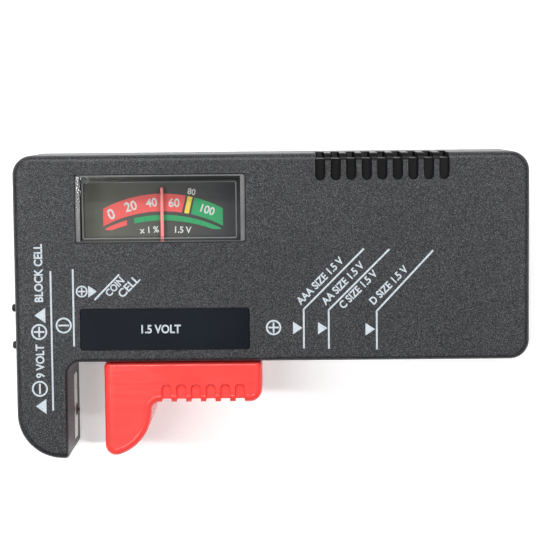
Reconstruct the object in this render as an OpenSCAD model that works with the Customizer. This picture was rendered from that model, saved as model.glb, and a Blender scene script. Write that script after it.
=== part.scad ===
// Analogue battery tester: an L-shaped housing with a fixed jaw, a sliding jaw
// below it and a moving-coil meter in its window.
// It lies on its back: X runs along the housing, Y towards its top edge and Z
// from the rear face to the front. The origin is on the rear face, at the
// centre of the outline with the polarity pips.

/* [Housing] */
// Length of the housing without the polarity pips
housing_length = 107.4; // [106:0.2:110]
// Height from the tip of the fixed jaw to the top edge
housing_height = 63.7; // [63:0.1:65]
// Thickness from the rear face to the front face
housing_depth = 23; // [23:0.5:26]
// Height of the section above the sliding jaw
section_height = 43.35; // [43:0.05:43.5]
// Wall thickness of both mouldings
wall = 2; // [1.8:0.1:2]
// Height of the joint line above the rear face
split_height = 3; // [2.8:0.1:3.2]
// Radius of the outline's corners
corner_radius = 4; // [3.5:0.5:5]
// Rounding of the front edges
front_rounding = 1.5; // [1:0.1:1.8]
// Rounding of the rear edges
rear_rounding = 1; // [0.6:0.1:1.5]
// How far the polarity pips stand out of the left side
pip_height = 2.2; // [1.5:0.1:2.5]
// Number of finger grooves along the top edge
groove_count = 9; // [4:1:11]

/* [Fixed jaw] */
// Width of the fixed jaw
jaw_width = 10.7; // [10.5:0.1:11]
// Radius of the fixed jaw's outer end
jaw_radius = 9.5; // [9:0.1:10]
// Radius of the inside corner between the jaw and the section
jaw_fillet = 2.8; // [2:0.1:3.5]

/* [Sliding jaw] */
// Gap from the fixed jaw to the sliding jaw as stored
rest_gap = 7.6; // [7:0.1:9]
// Length of the sliding jaw
slider_length = 33.2; // [32:0.2:34]
// Thickness of the sliding jaw
slider_depth = 20; // [19:0.5:20]
// Radius of the sliding jaw's leg
leg_radius = 9.9; // [9.5:0.1:10]
// Height of the grip bar
bar_height = 8.5; // [8:0.1:9]
// Number of grip notches
notch_count = 6; // [4:1:6]

/* [Meter] */
// Width of the clear window
window_width = 35.2; // [34:0.2:35.4]
// Height of the clear window
window_height = 13.95; // [13:0.05:14]
// Distance from the housing's left side to the needle's axis
pivot_from_left = 30.75; // [30:0.05:31.5]
// Height of the needle's axis above the origin
pivot_y = 4.2; // [4:0.1:4.4]
// Length of the needle from its axis
needle_reach = 20.7; // [19:0.1:21]

/* [Label] */
// Width of the label plate
label_width = 35.15; // [30:0.05:36]
// Height of the label plate
label_height = 8.55; // [7:0.05:9]

/* [Hidden] */

$fn = 48;
// overlap of cutting bodies past the faces they cut
cut = 1;
// room between pieces that are assembled together
fit = 0.05;
// thickness of contact metal
sheet = 0.4;

charcoal = "#3a3c40";
signal_red = "#ff3b3b";
nickel = "#c9c8c4";
zinc = "#8c8d8f";
brass = "#d4b15a";
bronze = "#c98f4a";

// housing outline
left = -(housing_length + pip_height) / 2 + pip_height;
right = left + housing_length;
top = housing_height / 2;
jaw_tip = -housing_height / 2;
section_bottom = top - section_height;
jaw_face = left + jaw_width;
front_inside = housing_depth - wall;

// sliding jaw
slider_left = jaw_face + rest_gap;
slider_right = slider_left + slider_length;
slider_rear = (housing_depth - slider_depth) / 2;
slider_front = slider_rear + slider_depth;
slider_top = section_bottom - 0.3;
bar_bottom = slider_top - bar_height;
leg_centre_y = jaw_tip + leg_radius;
leg_fillet = bar_bottom - leg_centre_y;
slider_rounding = 1.5;
slider_heel = 2.6;
slider_toe = 2;
notch_pitch = 3.09;
notch_width = 1.95;
notch_first_x = slider_left + 13.1;
notch_top = slider_top - 4.65;
notch_depth = 0.75;

// tongue of the sliding jaw and the slot it runs in
travel_in = -5.7;
travel_out = 55.2;
tongue_x = slider_left + 16.8;
tongue_length = 14;
tongue_z = 10;
tongue_thickness = 4;
slot_room = 1.5;
slot_left = tongue_x - tongue_length / 2 + travel_in - slot_room;
slot_right = tongue_x + tongue_length / 2 + travel_out + slot_room;
slot_clearance = 0.1;
foot_length = 18;
foot_width = 9;
foot_thickness = 2;
foot_bottom = section_bottom + wall + 0.3;
foot_top = foot_bottom + foot_thickness;
slider_screw_radius = 1;
slider_window = [13, 11];
slider_window_low = [leg_centre_y - 7, tongue_z - slider_window[1] / 2];
leaf = 0.3;

// contact rail beside the slot
rail_left = slot_left - 2;
rail_right = 47;
rail_z = 15;
rail_width = 4.6;
rail_stake_radius = 0.8;

// meter
pivot_x = left + pivot_from_left;
window_bottom = 13.7;
window_top = window_bottom + window_height;
window_rim_x = 1.75;
window_rim_top = 1.6;
window_rim_bottom = 0.95;
lens_proud = 0.4;
lens_front = housing_depth + lens_proud;
pane = 1;
meter_width = window_width + 1.2;
meter_bottom = -4.8;
meter_top = 28.6;
meter_height = meter_top - meter_bottom;
meter_rear = 5;
tray_front = 15.5;
meter_wall = 1;
dial_thickness = 0.5;
dial_front = tray_front + dial_thickness;
dial_bottom = 8;
dial_cutout = 8.2;
flange_rear = 19.8;
flange_front = 20.8;
meter_ear_y = 21;
meter_ear_out = 2.2;
meter_ear_radius = 2.2;
meter_ear_rear = 13.5;
meter_ear_front = 15;
terminal_ys = [9.5, 13.5];
terminal_z = 7.2;
terminal_width = 2;
terminal_length = 4.4;
terminal_left = pivot_x + meter_width / 2 - 2.6;

// movement
yoke_outer = 7.8;
yoke_inner = 6.3;
core_radius = 4.3;
core_rear = 8.4;
core_front = 15;
coil_inner = 4.75;
coil_outer = 5.85;
coil_width = 3.2;
coil_rear = 7.4;
coil_front = 16;
staff_radius = 0.45;
bridge_rear = 18.2;
bridge_front = 19;
bridge_width = 3.4;
jewel_radius = 1.1;
anchor_radius = 0.35;
anchor_x = 3.8;
spring_inner = 0.75;
spring_outer = 3.25;
spring_turns = 3;
spring_band = 0.2;
spring_height = 0.3;
upper_spring_z = 16.4;
lower_spring_z = 6.7;
needle_z = 17.25;
needle_thickness = 0.3;
needle_tail = 5.2;
needle_sweep = 38;
stop_radius = 0.4;
stop_reach = 9.5;
stop_angle = needle_sweep + asin((stop_radius + 0.4) / stop_reach);

// label plate
label_left = -38.8;
label_bottom = -8.8;
label_recess = 0.3;
label_thickness = 0.4;

// finger grooves
groove_first_x = 11.42;
groove_pitch = 3.21;
groove_width = 1.87;
groove_bottom = 26.3;
groove_depth = 1.2;
groove_rear = 12;

// contacts
jaw_contact_bottom = -30.2;
jaw_contact_top = -15.7;
jaw_contact_rear = 4.2;
jaw_contact_front = 10.3;
jaw_nub_y = -23.8;
jaw_nub_height = 0.85;
jaw_nub_base = 1.9;
jaw_nub_tip = 0.25;
pip_radius = 0.85;
pip_spacing = 8;
nine_volt_spacing = 12.7;
nine_volt_positive_y = -5;
nine_volt_negative_y = nine_volt_positive_y - nine_volt_spacing;
nine_volt_z = housing_depth / 2;
nine_volt_pad = [4.6, 7];

// fasteners: places of the case screws in the outline
case_screw_places = [[-47, 26], [50.2, 26.8], [50.2, -5.5], [-47.2, -26]];
case_screw_radius = 1.2;
case_head_radius = 2.6;
case_head_rear = 0.5;
case_head_front = 2;
case_screw_end = 14;
screw_room = 0.2;
boss_radius = 2.6;
pad_height = 4.4;
pad_radius = 4;
lip_height = 0.9;
lip_width = 1;
lip_room = 0.15;

// circuit board
board_left = 3;
board_bottom = 3;
board_size = [28, 18];
board_rear = 8;
board_thickness = 1.6;
board_front = board_rear + board_thickness;
board_screw_places = [[6, 18], [28, 6]];
small_screw_radius = 0.9;
small_head_radius = 1.7;
small_head_height = 0.8;
post_radius = 2;
post_hole_depth = 6;

// wires
wire_radius = 0.5;
wire_sides = 8;
wire_lane_z = 3.3;
jaw_wire_route = [
    [-44.9, -17, 7], [-45.5, -13, 5], [-43.5, -7, 3.5], [-34, -1.5, wire_lane_z],
    [-10, -1.5, wire_lane_z], [1, 3, 3.6], [5, 6, 6], [5, 6, 7.9]
];
nine_volt_negative_route = [
    [-49.6, -17.7, 11.5], [-48.3, -15, 8], [-47.5, -9, 4.2], [-44.5, -4.2, 3.5],
    [-34, 0.3, wire_lane_z], [-10, 0.3, wire_lane_z], [1, 5, 3.6], [5, 8, 6], [5, 8, 7.9]
];
nine_volt_positive_route = [
    [-49.6, -5, 11.5], [-48, -3.5, 8], [-47.5, -3, 5], [-44.5, -0.5, 3.5],
    [-34, 2.1, wire_lane_z], [-10, 2.1, wire_lane_z], [1, 7, 3.6], [5, 10, 6], [5, 10, 7.9]
];
rail_route = [
    [46, -7, 17.5], [44, -3, 15], [38, 3, 8], [34, 8, 5.5], [29, 12, 5.5], [27.5, 12.5, 7.9]
];
meter_positive_route = [[-2.2, 9.5, 6.6], [0, 11, 5.6], [5, 13, 5.6], [5.4, 13.2, 7.9]];
meter_negative_route = [[-2.2, 13.5, 6.6], [0, 15, 5.6], [8, 15.6, 5.6], [9, 15.6, 7.9]];

function unit(v) = v / norm(v);
// direction of a route at point i
function heading(p, i) = unit(p[min(i + 1, len(p) - 1)] - p[max(i - 1, 0)]);
// point at u along the smooth curve between points i and i + 1
function smooth(p, i, u) =
    let (a = p[max(i - 1, 0)], b = p[i], c = p[i + 1], d = p[min(i + 2, len(p) - 1)])
    0.5 * ((2 * b) + (c - a) * u + (2 * a - 5 * b + 4 * c - d) * u ^ 2
        + (3 * b - a - 3 * c + d) * u ^ 3);
function smooth_route(p, steps) = concat(
    [for (i = [0:len(p) - 2]) for (k = [0:steps - 1]) smooth(p, i, k / steps)],
    [p[len(p) - 1]]
);

// Tube swept along a route, one ring of corners at each point
module tube(route, radius) {
    points = smooth_route(route, 5);
    count = len(points);
    corners = [
        for (i = [0:count - 1])
            let (
                t = heading(points, i),
                side = unit(cross(t, abs(t[0]) > 0.9 ? [0, 0, 1] : [1, 0.2, 0.3])),
                up = cross(side, t)
            )
            for (k = [0:wire_sides - 1])
                points[i] + radius * (cos(360 * k / wire_sides) * side + sin(360 * k / wire_sides) * up)
    ];
    sides = [
        for (i = [0:count - 2]) for (k = [0:wire_sides - 1])
            let (n = (k + 1) % wire_sides, a = i * wire_sides, b = a + wire_sides)
            [a + k, a + n, b + n, b + k]
    ];
    ends = [
        [for (k = [wire_sides - 1:-1:0]) k],
        [for (k = [0:wire_sides - 1]) (count - 1) * wire_sides + k]
    ];
    polyhedron(corners, concat(sides, ends));
}

// Rectangle with round corners between two opposite corners
module rounded_rect(low, high, radius) {
    translate(low + [radius, 0]) square([high[0] - low[0] - 2 * radius, high[1] - low[1]]);
    translate(low + [0, radius]) square([high[0] - low[0], high[1] - low[1] - 2 * radius]);
    for (x = [low[0] + radius, high[0] - radius]) for (y = [low[1] + radius, high[1] - radius])
        translate([x, y]) circle(radius);
}

// Outline of the fixed jaw, shrunk by inset
module jaw_plan(inset) {
    centre = [left + jaw_radius, jaw_tip + jaw_radius];
    intersection() {
        translate([left + inset, jaw_tip + inset]) square([jaw_width - 2 * inset, housing_height / 2]);
        union() {
            translate(centre) circle(jaw_radius - inset);
            translate([left, centre[1]]) square([jaw_width, housing_height / 2]);
            translate([centre[0], jaw_tip]) square([jaw_width, jaw_radius]);
        }
    }
}

// Outline of the whole housing, shrunk by inset
module housing_plan(inset = 0) {
    rounded_rect(
        [left + inset, section_bottom + inset],
        [right - inset, top - inset],
        corner_radius - inset
    );
    jaw_plan(inset);
    difference() {
        translate([jaw_face - inset - cut, section_bottom - jaw_fillet])
            square([jaw_fillet + inset + cut, jaw_fillet + inset + cut]);
        translate([jaw_face + jaw_fillet, section_bottom - jaw_fillet]) circle(jaw_fillet + inset);
    }
    translate([left + inset, section_bottom - cut]) square([jaw_width - 2 * inset, corner_radius + cut]);
}

// Profile of the waste that is cut away to round an edge; its corner is the
// centre of the rounding, X points outwards and Y points over the face
module edge_waste(radius) {
    difference() {
        square(radius + cut);
        circle(radius);
    }
}

// Waste along a straight edge, with the body on the left of the way from a to b
module straight_waste(a, b, radius) {
    way = b - a;
    heading = atan2(way[1], way[0]);
    translate(b + radius * [-sin(heading), cos(heading)])
        rotate([90, 0, heading - 90]) linear_extrude(norm(way)) edge_waste(radius);
}

// Waste along a convex corner of the outline
module corner_waste(centre, corner, start, radius) {
    translate(centre) rotate([0, 0, start]) rotate_extrude(angle = 90)
        translate([corner - radius, 0]) edge_waste(radius);
}

// Waste along a concave corner of the outline
module hollow_waste(centre, corner, start, radius) {
    translate(centre) rotate([0, 0, start]) rotate_extrude(angle = 90)
        translate([corner + radius, 0]) mirror([1, 0]) edge_waste(radius);
}

// Waste along all of the housing's outline
module housing_waste(radius) {
    jaw_centre = [left + jaw_radius, jaw_tip + jaw_radius];
    fillet_centre = [jaw_face + jaw_fillet, section_bottom - jaw_fillet];
    low = section_bottom + corner_radius;
    high = top - corner_radius;
    far = right - corner_radius;
    corner_waste([left + corner_radius, high], corner_radius, 90, radius);
    straight_waste([left, high], [left, jaw_centre[1]], radius);
    corner_waste(jaw_centre, jaw_radius, 180, radius);
    straight_waste([jaw_centre[0], jaw_tip], [jaw_face + cut, jaw_tip], radius);
    straight_waste([jaw_face, jaw_tip - cut], [jaw_face, fillet_centre[1]], radius);
    hollow_waste(fillet_centre, jaw_fillet, 90, radius);
    straight_waste([fillet_centre[0], section_bottom], [far, section_bottom], radius);
    corner_waste([far, low], corner_radius, 270, radius);
    straight_waste([right, low], [right, high], radius);
    corner_waste([far, high], corner_radius, 0, radius);
    straight_waste([far, top], [left + corner_radius, top], radius);
}

// Waste along all of the sliding jaw's outline
module slider_waste(radius) {
    leg_right = slider_left + leg_radius;
    fillet_end = leg_right + leg_fillet;
    heel_centre = [slider_right - slider_heel, bar_bottom + slider_heel];
    toe_centre = [slider_left + slider_toe, jaw_tip + slider_toe];
    straight_waste([slider_left, slider_top + cut], [slider_left, toe_centre[1]], radius);
    corner_waste(toe_centre, slider_toe, 180, radius);
    corner_waste([slider_left, leg_centre_y], leg_radius, 270, radius);
    hollow_waste([fillet_end, leg_centre_y], leg_fillet, 90, radius);
    straight_waste([fillet_end, bar_bottom], [heel_centre[0], bar_bottom], radius);
    corner_waste(heel_centre, slider_heel, 270, radius);
    straight_waste([slider_right, heel_centre[1]], [slider_right, slider_top + cut], radius);
    straight_waste([slider_right + cut, slider_top], [slider_left - cut, slider_top], radius);
}

module place_all(places) {
    for (p = places) translate([p[0], p[1], 0]) children();
}

module at_pivot() {
    translate([pivot_x, pivot_y, 0]) children();
}

// ---------------------------------------------------------------- housing

module finger_groove() {
    translate([-groove_width / 2, groove_bottom + groove_width / 2, housing_depth - groove_depth])
        cube([groove_width, top - groove_bottom, groove_depth + cut]);
    translate([0, groove_bottom + groove_width / 2, housing_depth - groove_depth])
        cylinder(h = groove_depth + cut, r = groove_width / 2);
    translate([-groove_width / 2, top - groove_depth, groove_rear])
        cube([groove_width, groove_depth + cut, housing_depth - groove_rear]);
}

module polarity_pips() {
    for (side = [-1, 1])
        translate([left - pip_height, nine_volt_positive_y + side * pip_spacing / 2, nine_volt_z])
            rotate([0, 90, 0]) cylinder(h = pip_height + wall / 2, r = pip_radius, $fn = 24);
}

module front_cover() {
    color(charcoal) difference() {
        union() {
            difference() {
                translate([0, 0, split_height])
                    linear_extrude(housing_depth - split_height, convexity = 6) housing_plan();
                translate([0, 0, housing_depth - front_rounding]) housing_waste(front_rounding);
                translate([0, 0, split_height - cut])
                    linear_extrude(front_inside - split_height + cut, convexity = 6) housing_plan(wall);
            }
            intersection() {
                translate([0, 0, split_height])
                    linear_extrude(housing_depth - split_height - front_rounding) housing_plan(wall / 2);
                place_all(case_screw_places) translate([0, 0, pad_height + 2 * fit])
                    cylinder(h = front_inside - pad_height, r = boss_radius);
            }
            place_all(board_screw_places) translate([0, 0, board_front])
                cylinder(h = front_inside - board_front + cut, r = post_radius);
            place_all(meter_ear_places()) translate([0, 0, meter_ear_front])
                cylinder(h = front_inside - meter_ear_front + cut, r = post_radius);
            for (x = rail_stake_xs())
                translate([x, section_bottom + wall + 2 * sheet, rail_z + rail_width / 2])
                    rotate([90, 0, 0]) cylinder(h = 3 * sheet, r = rail_stake_radius, $fn = 24);
            polarity_pips();
        }
        place_all(case_screw_places) translate([0, 0, split_height])
            cylinder(h = case_screw_end + cut - split_height, r = case_screw_radius + fit);
        place_all(board_screw_places) translate([0, 0, board_front - cut])
            cylinder(h = post_hole_depth + cut, r = small_screw_radius + fit);
        place_all(meter_ear_places()) translate([0, 0, meter_ear_front - cut])
            cylinder(h = post_hole_depth, r = small_screw_radius + fit);
        translate([pivot_x - window_width / 2 - fit, window_bottom - fit, front_inside - cut])
            cube([window_width + 2 * fit, window_height + 2 * fit, wall + 2 * cut]);
        translate([label_left - fit, label_bottom - fit, housing_depth - label_recess])
            cube([label_width + 2 * fit, label_height + 2 * fit, cut]);
        translate([slot_left, section_bottom - cut, tongue_z - tongue_thickness / 2 - slot_clearance])
            cube([slot_right - slot_left, wall + 2 * cut, tongue_thickness + 2 * slot_clearance]);
        translate([jaw_face - wall - cut, jaw_contact_bottom, jaw_contact_rear])
            cube([
                wall + 2 * cut,
                jaw_contact_top - jaw_contact_bottom,
                jaw_contact_front - jaw_contact_rear
            ]);
        for (y = [nine_volt_positive_y, nine_volt_negative_y])
            translate([left - cut, y - nine_volt_pad[0] / 2, nine_volt_z - nine_volt_pad[1] / 2])
                cube([wall + 2 * cut, nine_volt_pad[0], nine_volt_pad[1]]);
        for (i = [0:groove_count - 1]) translate([groove_first_x + i * groove_pitch, 0, 0]) finger_groove();
    }
}

module rear_cover() {
    color(charcoal) difference() {
        union() {
            difference() {
                linear_extrude(split_height, convexity = 6) housing_plan();
                translate([0, 0, rear_rounding]) mirror([0, 0, 1]) housing_waste(rear_rounding);
                translate([0, 0, wall])
                    linear_extrude(split_height, convexity = 6) housing_plan(wall);
            }
            difference() {
                translate([0, 0, wall - cut / 2])
                    linear_extrude(split_height + lip_height - wall + cut / 2, convexity = 6)
                        housing_plan(wall + lip_room);
                translate([0, 0, wall - cut])
                    linear_extrude(split_height + 2 * cut, convexity = 6)
                        housing_plan(wall + lip_room + lip_width);
            }
            intersection() {
                place_all(case_screw_places) translate([0, 0, cut])
                    cylinder(h = pad_height - cut, r = pad_radius);
                linear_extrude(pad_height, convexity = 6) housing_plan(wall + lip_room + lip_width / 2);
            }
        }
        place_all(case_screw_places) {
            translate([0, 0, -cut]) cylinder(h = pad_height + 2 * cut, r = case_screw_radius + screw_room);
            translate([0, 0, -cut]) cylinder(h = case_head_front + cut, r = case_head_radius + screw_room);
        }
    }
}

// Pan-head screw along +Z with a cross recess in its head
module screw(head_radius, head_height, radius, length) {
    slot_length = head_radius * 1.2;
    slot_width = head_radius * 0.24;
    difference() {
        union() {
            cylinder(h = head_height, r = head_radius);
            cylinder(h = head_height + length, r = radius);
        }
        for (turn = [0, 90]) rotate([0, 0, turn])
            translate([-slot_length / 2, -slot_width / 2, -cut])
                cube([slot_length, slot_width, cut + head_height / 2]);
    }
}

module case_screws() {
    color(zinc) place_all(case_screw_places) translate([0, 0, case_head_rear])
        screw(case_head_radius, case_head_front - case_head_rear, case_screw_radius,
            case_screw_end - case_head_front);
}

module label_plate() {
    color("#1d232b") translate([label_left, label_bottom, housing_depth - label_recess])
        linear_extrude(label_thickness) rounded_rect([0, 0], [label_width, label_height], 0.4);
}

// ------------------------------------------------------------------ meter

function meter_ear_places() = [
    [pivot_x - meter_width / 2 - meter_ear_out, meter_ear_y],
    [pivot_x + meter_width / 2 + meter_ear_out, meter_ear_y]
];
function dial_screw_places() = [for (side = [-1, 1]) [pivot_x + side * 15, 11]];

// Block with the meter's outline, shrunk by inset
module meter_block(inset, rear, front) {
    translate([pivot_x - meter_width / 2 + inset, meter_bottom + inset, rear])
        cube([meter_width - 2 * inset, meter_height - 2 * inset, front - rear]);
}

module meter_lens() {
    color("#dfe9ee", 0.35) difference() {
        union() {
            meter_block(0, tray_front + fit, flange_front);
            translate([pivot_x - window_width / 2, window_bottom, flange_rear])
                cube([window_width, window_height, lens_front - flange_rear]);
        }
        meter_block(meter_wall, tray_front - cut, flange_rear);
        translate([
            pivot_x - window_width / 2 + window_rim_x,
            window_bottom + window_rim_bottom,
            flange_rear - cut
        ])
            cube([
                window_width - 2 * window_rim_x,
                window_height - window_rim_top - window_rim_bottom,
                lens_front - pane - flange_rear + cut
            ]);
    }
}

module meter_case() {
    color("#2a2b2e") difference() {
        union() {
            difference() {
                meter_block(0, meter_rear, tray_front);
                meter_block(meter_wall, meter_rear + meter_wall, tray_front + cut);
            }
            at_pivot() translate([0, 0, meter_rear]) difference() {
                cylinder(h = core_rear - meter_rear, r = yoke_outer);
                translate([0, 0, meter_wall]) cylinder(h = core_rear, r = yoke_inner + 0.5);
            }
            place_all(dial_screw_places()) translate([0, 0, meter_rear])
                cylinder(h = tray_front - meter_rear, r = post_radius);
            for (p = meter_ear_places()) {
                translate([p[0], p[1], meter_ear_rear])
                    cylinder(h = meter_ear_front - meter_ear_rear, r = meter_ear_radius);
                translate([min(p[0], p[0] + sign(pivot_x - p[0]) * meter_ear_out * 1.2),
                    p[1] - meter_ear_radius, meter_ear_rear])
                    cube([meter_ear_out * 1.2, 2 * meter_ear_radius, meter_ear_front - meter_ear_rear]);
            }
        }
        place_all(meter_ear_places()) translate([0, 0, meter_ear_rear - cut])
            cylinder(h = 4, r = small_screw_radius + fit);
        place_all(dial_screw_places()) translate([0, 0, tray_front - 4])
            cylinder(h = 5, r = small_screw_radius - 0.2 + fit);
        at_pivot() translate([0, 0, meter_rear - cut]) cylinder(h = 3 * cut, r = jewel_radius + fit);
        for (y = terminal_ys)
            translate([terminal_left - fit, y - terminal_width / 2 - fit, terminal_z - fit])
                cube([terminal_length, terminal_width + 2 * fit, sheet + 2 * fit]);
    }
}

module meter_screws() {
    color(zinc) place_all(meter_ear_places())
        translate([0, 0, meter_ear_rear - small_head_height])
            screw(small_head_radius, small_head_height, small_screw_radius, 6);
}

module meter_terminals() {
    color(brass) for (y = terminal_ys)
        translate([terminal_left, y - terminal_width / 2, terminal_z])
            cube([terminal_length, terminal_width, sheet]);
}

module dial_plate() {
    color("#4a4a42") difference() {
        translate([pivot_x - meter_width / 2 + meter_wall + 4 * fit, dial_bottom, tray_front])
            cube([
                meter_width - 2 * meter_wall - 8 * fit,
                meter_top - meter_wall - 4 * fit - dial_bottom,
                dial_thickness
            ]);
        at_pivot() translate([0, 0, tray_front - cut]) cylinder(h = 3 * cut, r = dial_cutout);
        place_all(dial_screw_places()) translate([0, 0, tray_front - cut])
            cylinder(h = 3 * cut, r = small_screw_radius - 0.2 + fit);
    }
}

module dial_screws() {
    color(brass) place_all(dial_screw_places())
        translate([0, 0, dial_front + 0.6]) mirror([0, 0, 1])
            screw(1.3, 0.6, small_screw_radius - 0.2, 4);
}

module needle_stops() {
    color("#9a9a98") at_pivot() for (side = [-1, 1]) rotate([0, 0, side * stop_angle])
        translate([0, stop_reach, dial_front]) cylinder(h = 2.3, r = stop_radius, $fn = 24);
}

module meter_yoke() {
    color("#85878a") at_pivot() translate([0, 0, core_rear]) difference() {
        cylinder(h = core_front - core_rear, r = yoke_outer - fit);
        translate([0, 0, -cut]) cylinder(h = core_front, r = yoke_inner);
    }
}

module core_magnet() {
    color("#5b5d60") at_pivot() translate([0, 0, core_rear])
        cylinder(h = core_front - core_rear, r = core_radius);
}

// Two arms that hold the core at its top and bottom sides, clear of the coil
module core_bracket() {
    arm = 2.4;
    color("#b9a15a") at_pivot() translate([0, 0, core_rear]) intersection() {
        difference() {
            cylinder(h = core_front - core_rear, r = yoke_inner - fit);
            translate([0, 0, -cut]) cylinder(h = core_front, r = core_radius + fit);
        }
        translate([-arm / 2, -yoke_outer, 0]) cube([arm, 2 * yoke_outer, core_front]);
    }
}

module lower_bridge() {
    length = yoke_inner - 0.5;
    lower_anchor_top = lower_spring_z + spring_height + fit;
    color(brass) at_pivot() difference() {
        union() {
            translate([-length, -bridge_width / 2, meter_rear + meter_wall])
                cube([2 * length, bridge_width, 0.4]);
            translate([anchor_x, 0, meter_rear + meter_wall])
                cylinder(h = lower_anchor_top - meter_rear - meter_wall, r = anchor_radius, $fn = 24);
        }
        translate([0, 0, meter_rear]) cylinder(h = 3 * cut, r = jewel_radius + fit);
    }
}

module upper_bridge() {
    length = yoke_outer - 0.1;
    post = (yoke_outer + yoke_inner) / 2;
    color(brass) at_pivot() difference() {
        union() {
            translate([-length, -bridge_width / 2, bridge_rear])
                cube([2 * length, bridge_width, bridge_front - bridge_rear]);
            for (side = [-1, 1]) translate([side * post, 0, core_front])
                cylinder(h = bridge_rear - core_front + 0.2, r = 0.7, $fn = 24);
            translate([anchor_x, 0, upper_spring_z - 0.1])
                cylinder(h = bridge_rear - upper_spring_z + 0.3, r = anchor_radius, $fn = 24);
        }
        translate([0, 0, bridge_rear - cut]) cylinder(h = 3 * cut, r = jewel_radius + fit);
    }
}

// Screws with a cupped end that carry the coil's two pivots
module jewel_screws() {
    cup = 0.35;
    color("#c23a56") at_pivot() {
        difference() {
            translate([0, 0, bridge_rear - 0.2])
                cylinder(h = bridge_front + 0.7 - bridge_rear, r = jewel_radius);
            translate([0, 0, bridge_rear - cut])
                cylinder(h = cut + cup - 0.1, r = staff_radius + fit, $fn = 24);
        }
        difference() {
            translate([0, 0, meter_rear]) cylinder(h = meter_wall + 0.5, r = jewel_radius);
            translate([0, 0, meter_rear + meter_wall + 0.5 - cup])
                cylinder(h = cut, r = staff_radius + fit, $fn = 24);
        }
    }
}

// Flat spiral from the collet to its anchor, which lies on the X axis
module hairspring(z) {
    steps = 24;
    last = spring_turns * steps;
    function radius(i) = spring_inner + (spring_outer - spring_inner) * i / last;
    function edge(i, side) =
        (radius(i) + side * spring_band / 2) * [cos(360 * i / steps), sin(360 * i / steps)];
    at_pivot() translate([0, 0, z]) linear_extrude(spring_height)
        polygon(concat(
            [for (i = [0:last]) edge(i, 1)],
            [for (i = [last:-1:0]) edge(i, -1)]
        ));
}

module upper_hairspring() {
    color("#cfa64a") hairspring(upper_spring_z);
}

module lower_hairspring() {
    color("#cfa64a") hairspring(lower_spring_z);
}

module needle() {
    hub = 1.3;
    root = 0.9;
    tip = 0.5;
    color("#f06a75") at_pivot() translate([0, 0, needle_z]) difference() {
        union() {
            linear_extrude(needle_thickness) polygon([
                [-root / 2, 0], [root / 2, 0], [tip / 2, needle_reach], [-tip / 2, needle_reach]
            ]);
            linear_extrude(needle_thickness) polygon([
                [-root / 2, 0], [root / 2, 0], [root / 2, -needle_tail], [-root / 2, -needle_tail]
            ]);
            cylinder(h = 2 * needle_thickness, r = hub, $fn = 32);
        }
        translate([0, 0, -cut]) cylinder(h = 3 * cut, r = staff_radius + fit, $fn = 24);
    }
}

module counterweight() {
    color("#b8b8b4") at_pivot() difference() {
        translate([0, -needle_tail + 0.2, needle_z + needle_thickness / 2])
            rotate([-90, 0, 0]) cylinder(h = 2, r = 0.75, $fn = 24);
        translate([-0.45 - fit, -needle_tail - cut, needle_z - fit])
            cube([0.9 + 2 * fit, 4, needle_thickness + 2 * fit]);
        translate([-1, -needle_tail - cut, needle_z - cut - fit]) cube([2, 4, cut]);
    }
}

module moving_coil() {
    bar = 0.75;
    color("#b5652c") at_pivot() translate([0, 0, coil_rear]) difference() {
        translate([-coil_outer, -coil_width / 2, 0])
            cube([2 * coil_outer, coil_width, coil_front - coil_rear]);
        translate([-coil_inner, -coil_width, bar])
            cube([2 * coil_inner, 2 * coil_width, coil_front - coil_rear - 2 * bar]);
    }
}

module coil_pivots() {
    tip = 0.3;
    point = 0.1;
    lower_end = meter_rear + meter_wall + 0.2;
    color("#9a9ca0") at_pivot() {
        translate([0, 0, coil_front])
            cylinder(h = bridge_rear - coil_front - tip, r = staff_radius, $fn = 24);
        translate([0, 0, bridge_rear - tip]) cylinder(h = tip, r1 = staff_radius, r2 = point, $fn = 24);
        translate([0, 0, lower_end + tip])
            cylinder(h = coil_rear - lower_end - tip, r = staff_radius, $fn = 24);
        translate([0, 0, lower_end]) cylinder(h = tip, r1 = point, r2 = staff_radius, $fn = 24);
    }
}

// --------------------------------------------------------------- contacts

// Plate that fills the window in the jaw, with its pointed nub
module jaw_contact() {
    height = jaw_contact_top - jaw_contact_bottom;
    width = jaw_contact_front - jaw_contact_rear;
    flange = 0.7;
    // the flange's lower edge stays clear of the jaw's curved wall
    flange_bottom = jaw_contact_bottom + flange;
    color(nickel) {
        translate([jaw_face - wall - fit, jaw_contact_bottom + 2 * fit, jaw_contact_rear + 2 * fit])
            cube([wall, height - 4 * fit, width - 4 * fit]);
        translate([jaw_face - wall - sheet - fit, flange_bottom, jaw_contact_rear + fit])
            cube([sheet, jaw_contact_top + flange - flange_bottom, width + flange]);
        translate([jaw_face - fit, jaw_nub_y, (jaw_contact_rear + jaw_contact_front) / 2])
            rotate([0, 90, 0]) cylinder(h = jaw_nub_height, r1 = jaw_nub_base, r2 = jaw_nub_tip, $fn = 32);
    }
}

// Pad behind a window in the left side, with a flange inside the wall
module nine_volt_contact(y) {
    recess = 0.3;
    flange = 0.6;
    color(nickel) {
        translate([left + recess, y - nine_volt_pad[0] / 2 + fit, nine_volt_z - nine_volt_pad[1] / 2 + fit])
            cube([wall - recess + 2 * fit, nine_volt_pad[0] - 2 * fit, nine_volt_pad[1] - 2 * fit]);
        translate([
            left + wall + fit,
            y - nine_volt_pad[0] / 2 - flange,
            nine_volt_z - nine_volt_pad[1] / 2 - flange
        ])
            cube([sheet, nine_volt_pad[0] + 2 * flange, nine_volt_pad[1] + 2 * flange]);
    }
}

module nine_volt_positive_contact() {
    nine_volt_contact(nine_volt_positive_y);
}

module nine_volt_negative_contact() {
    nine_volt_contact(nine_volt_negative_y);
}

function rail_stake_xs() = [rail_left + 1.2, rail_right - 2.4];

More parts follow.
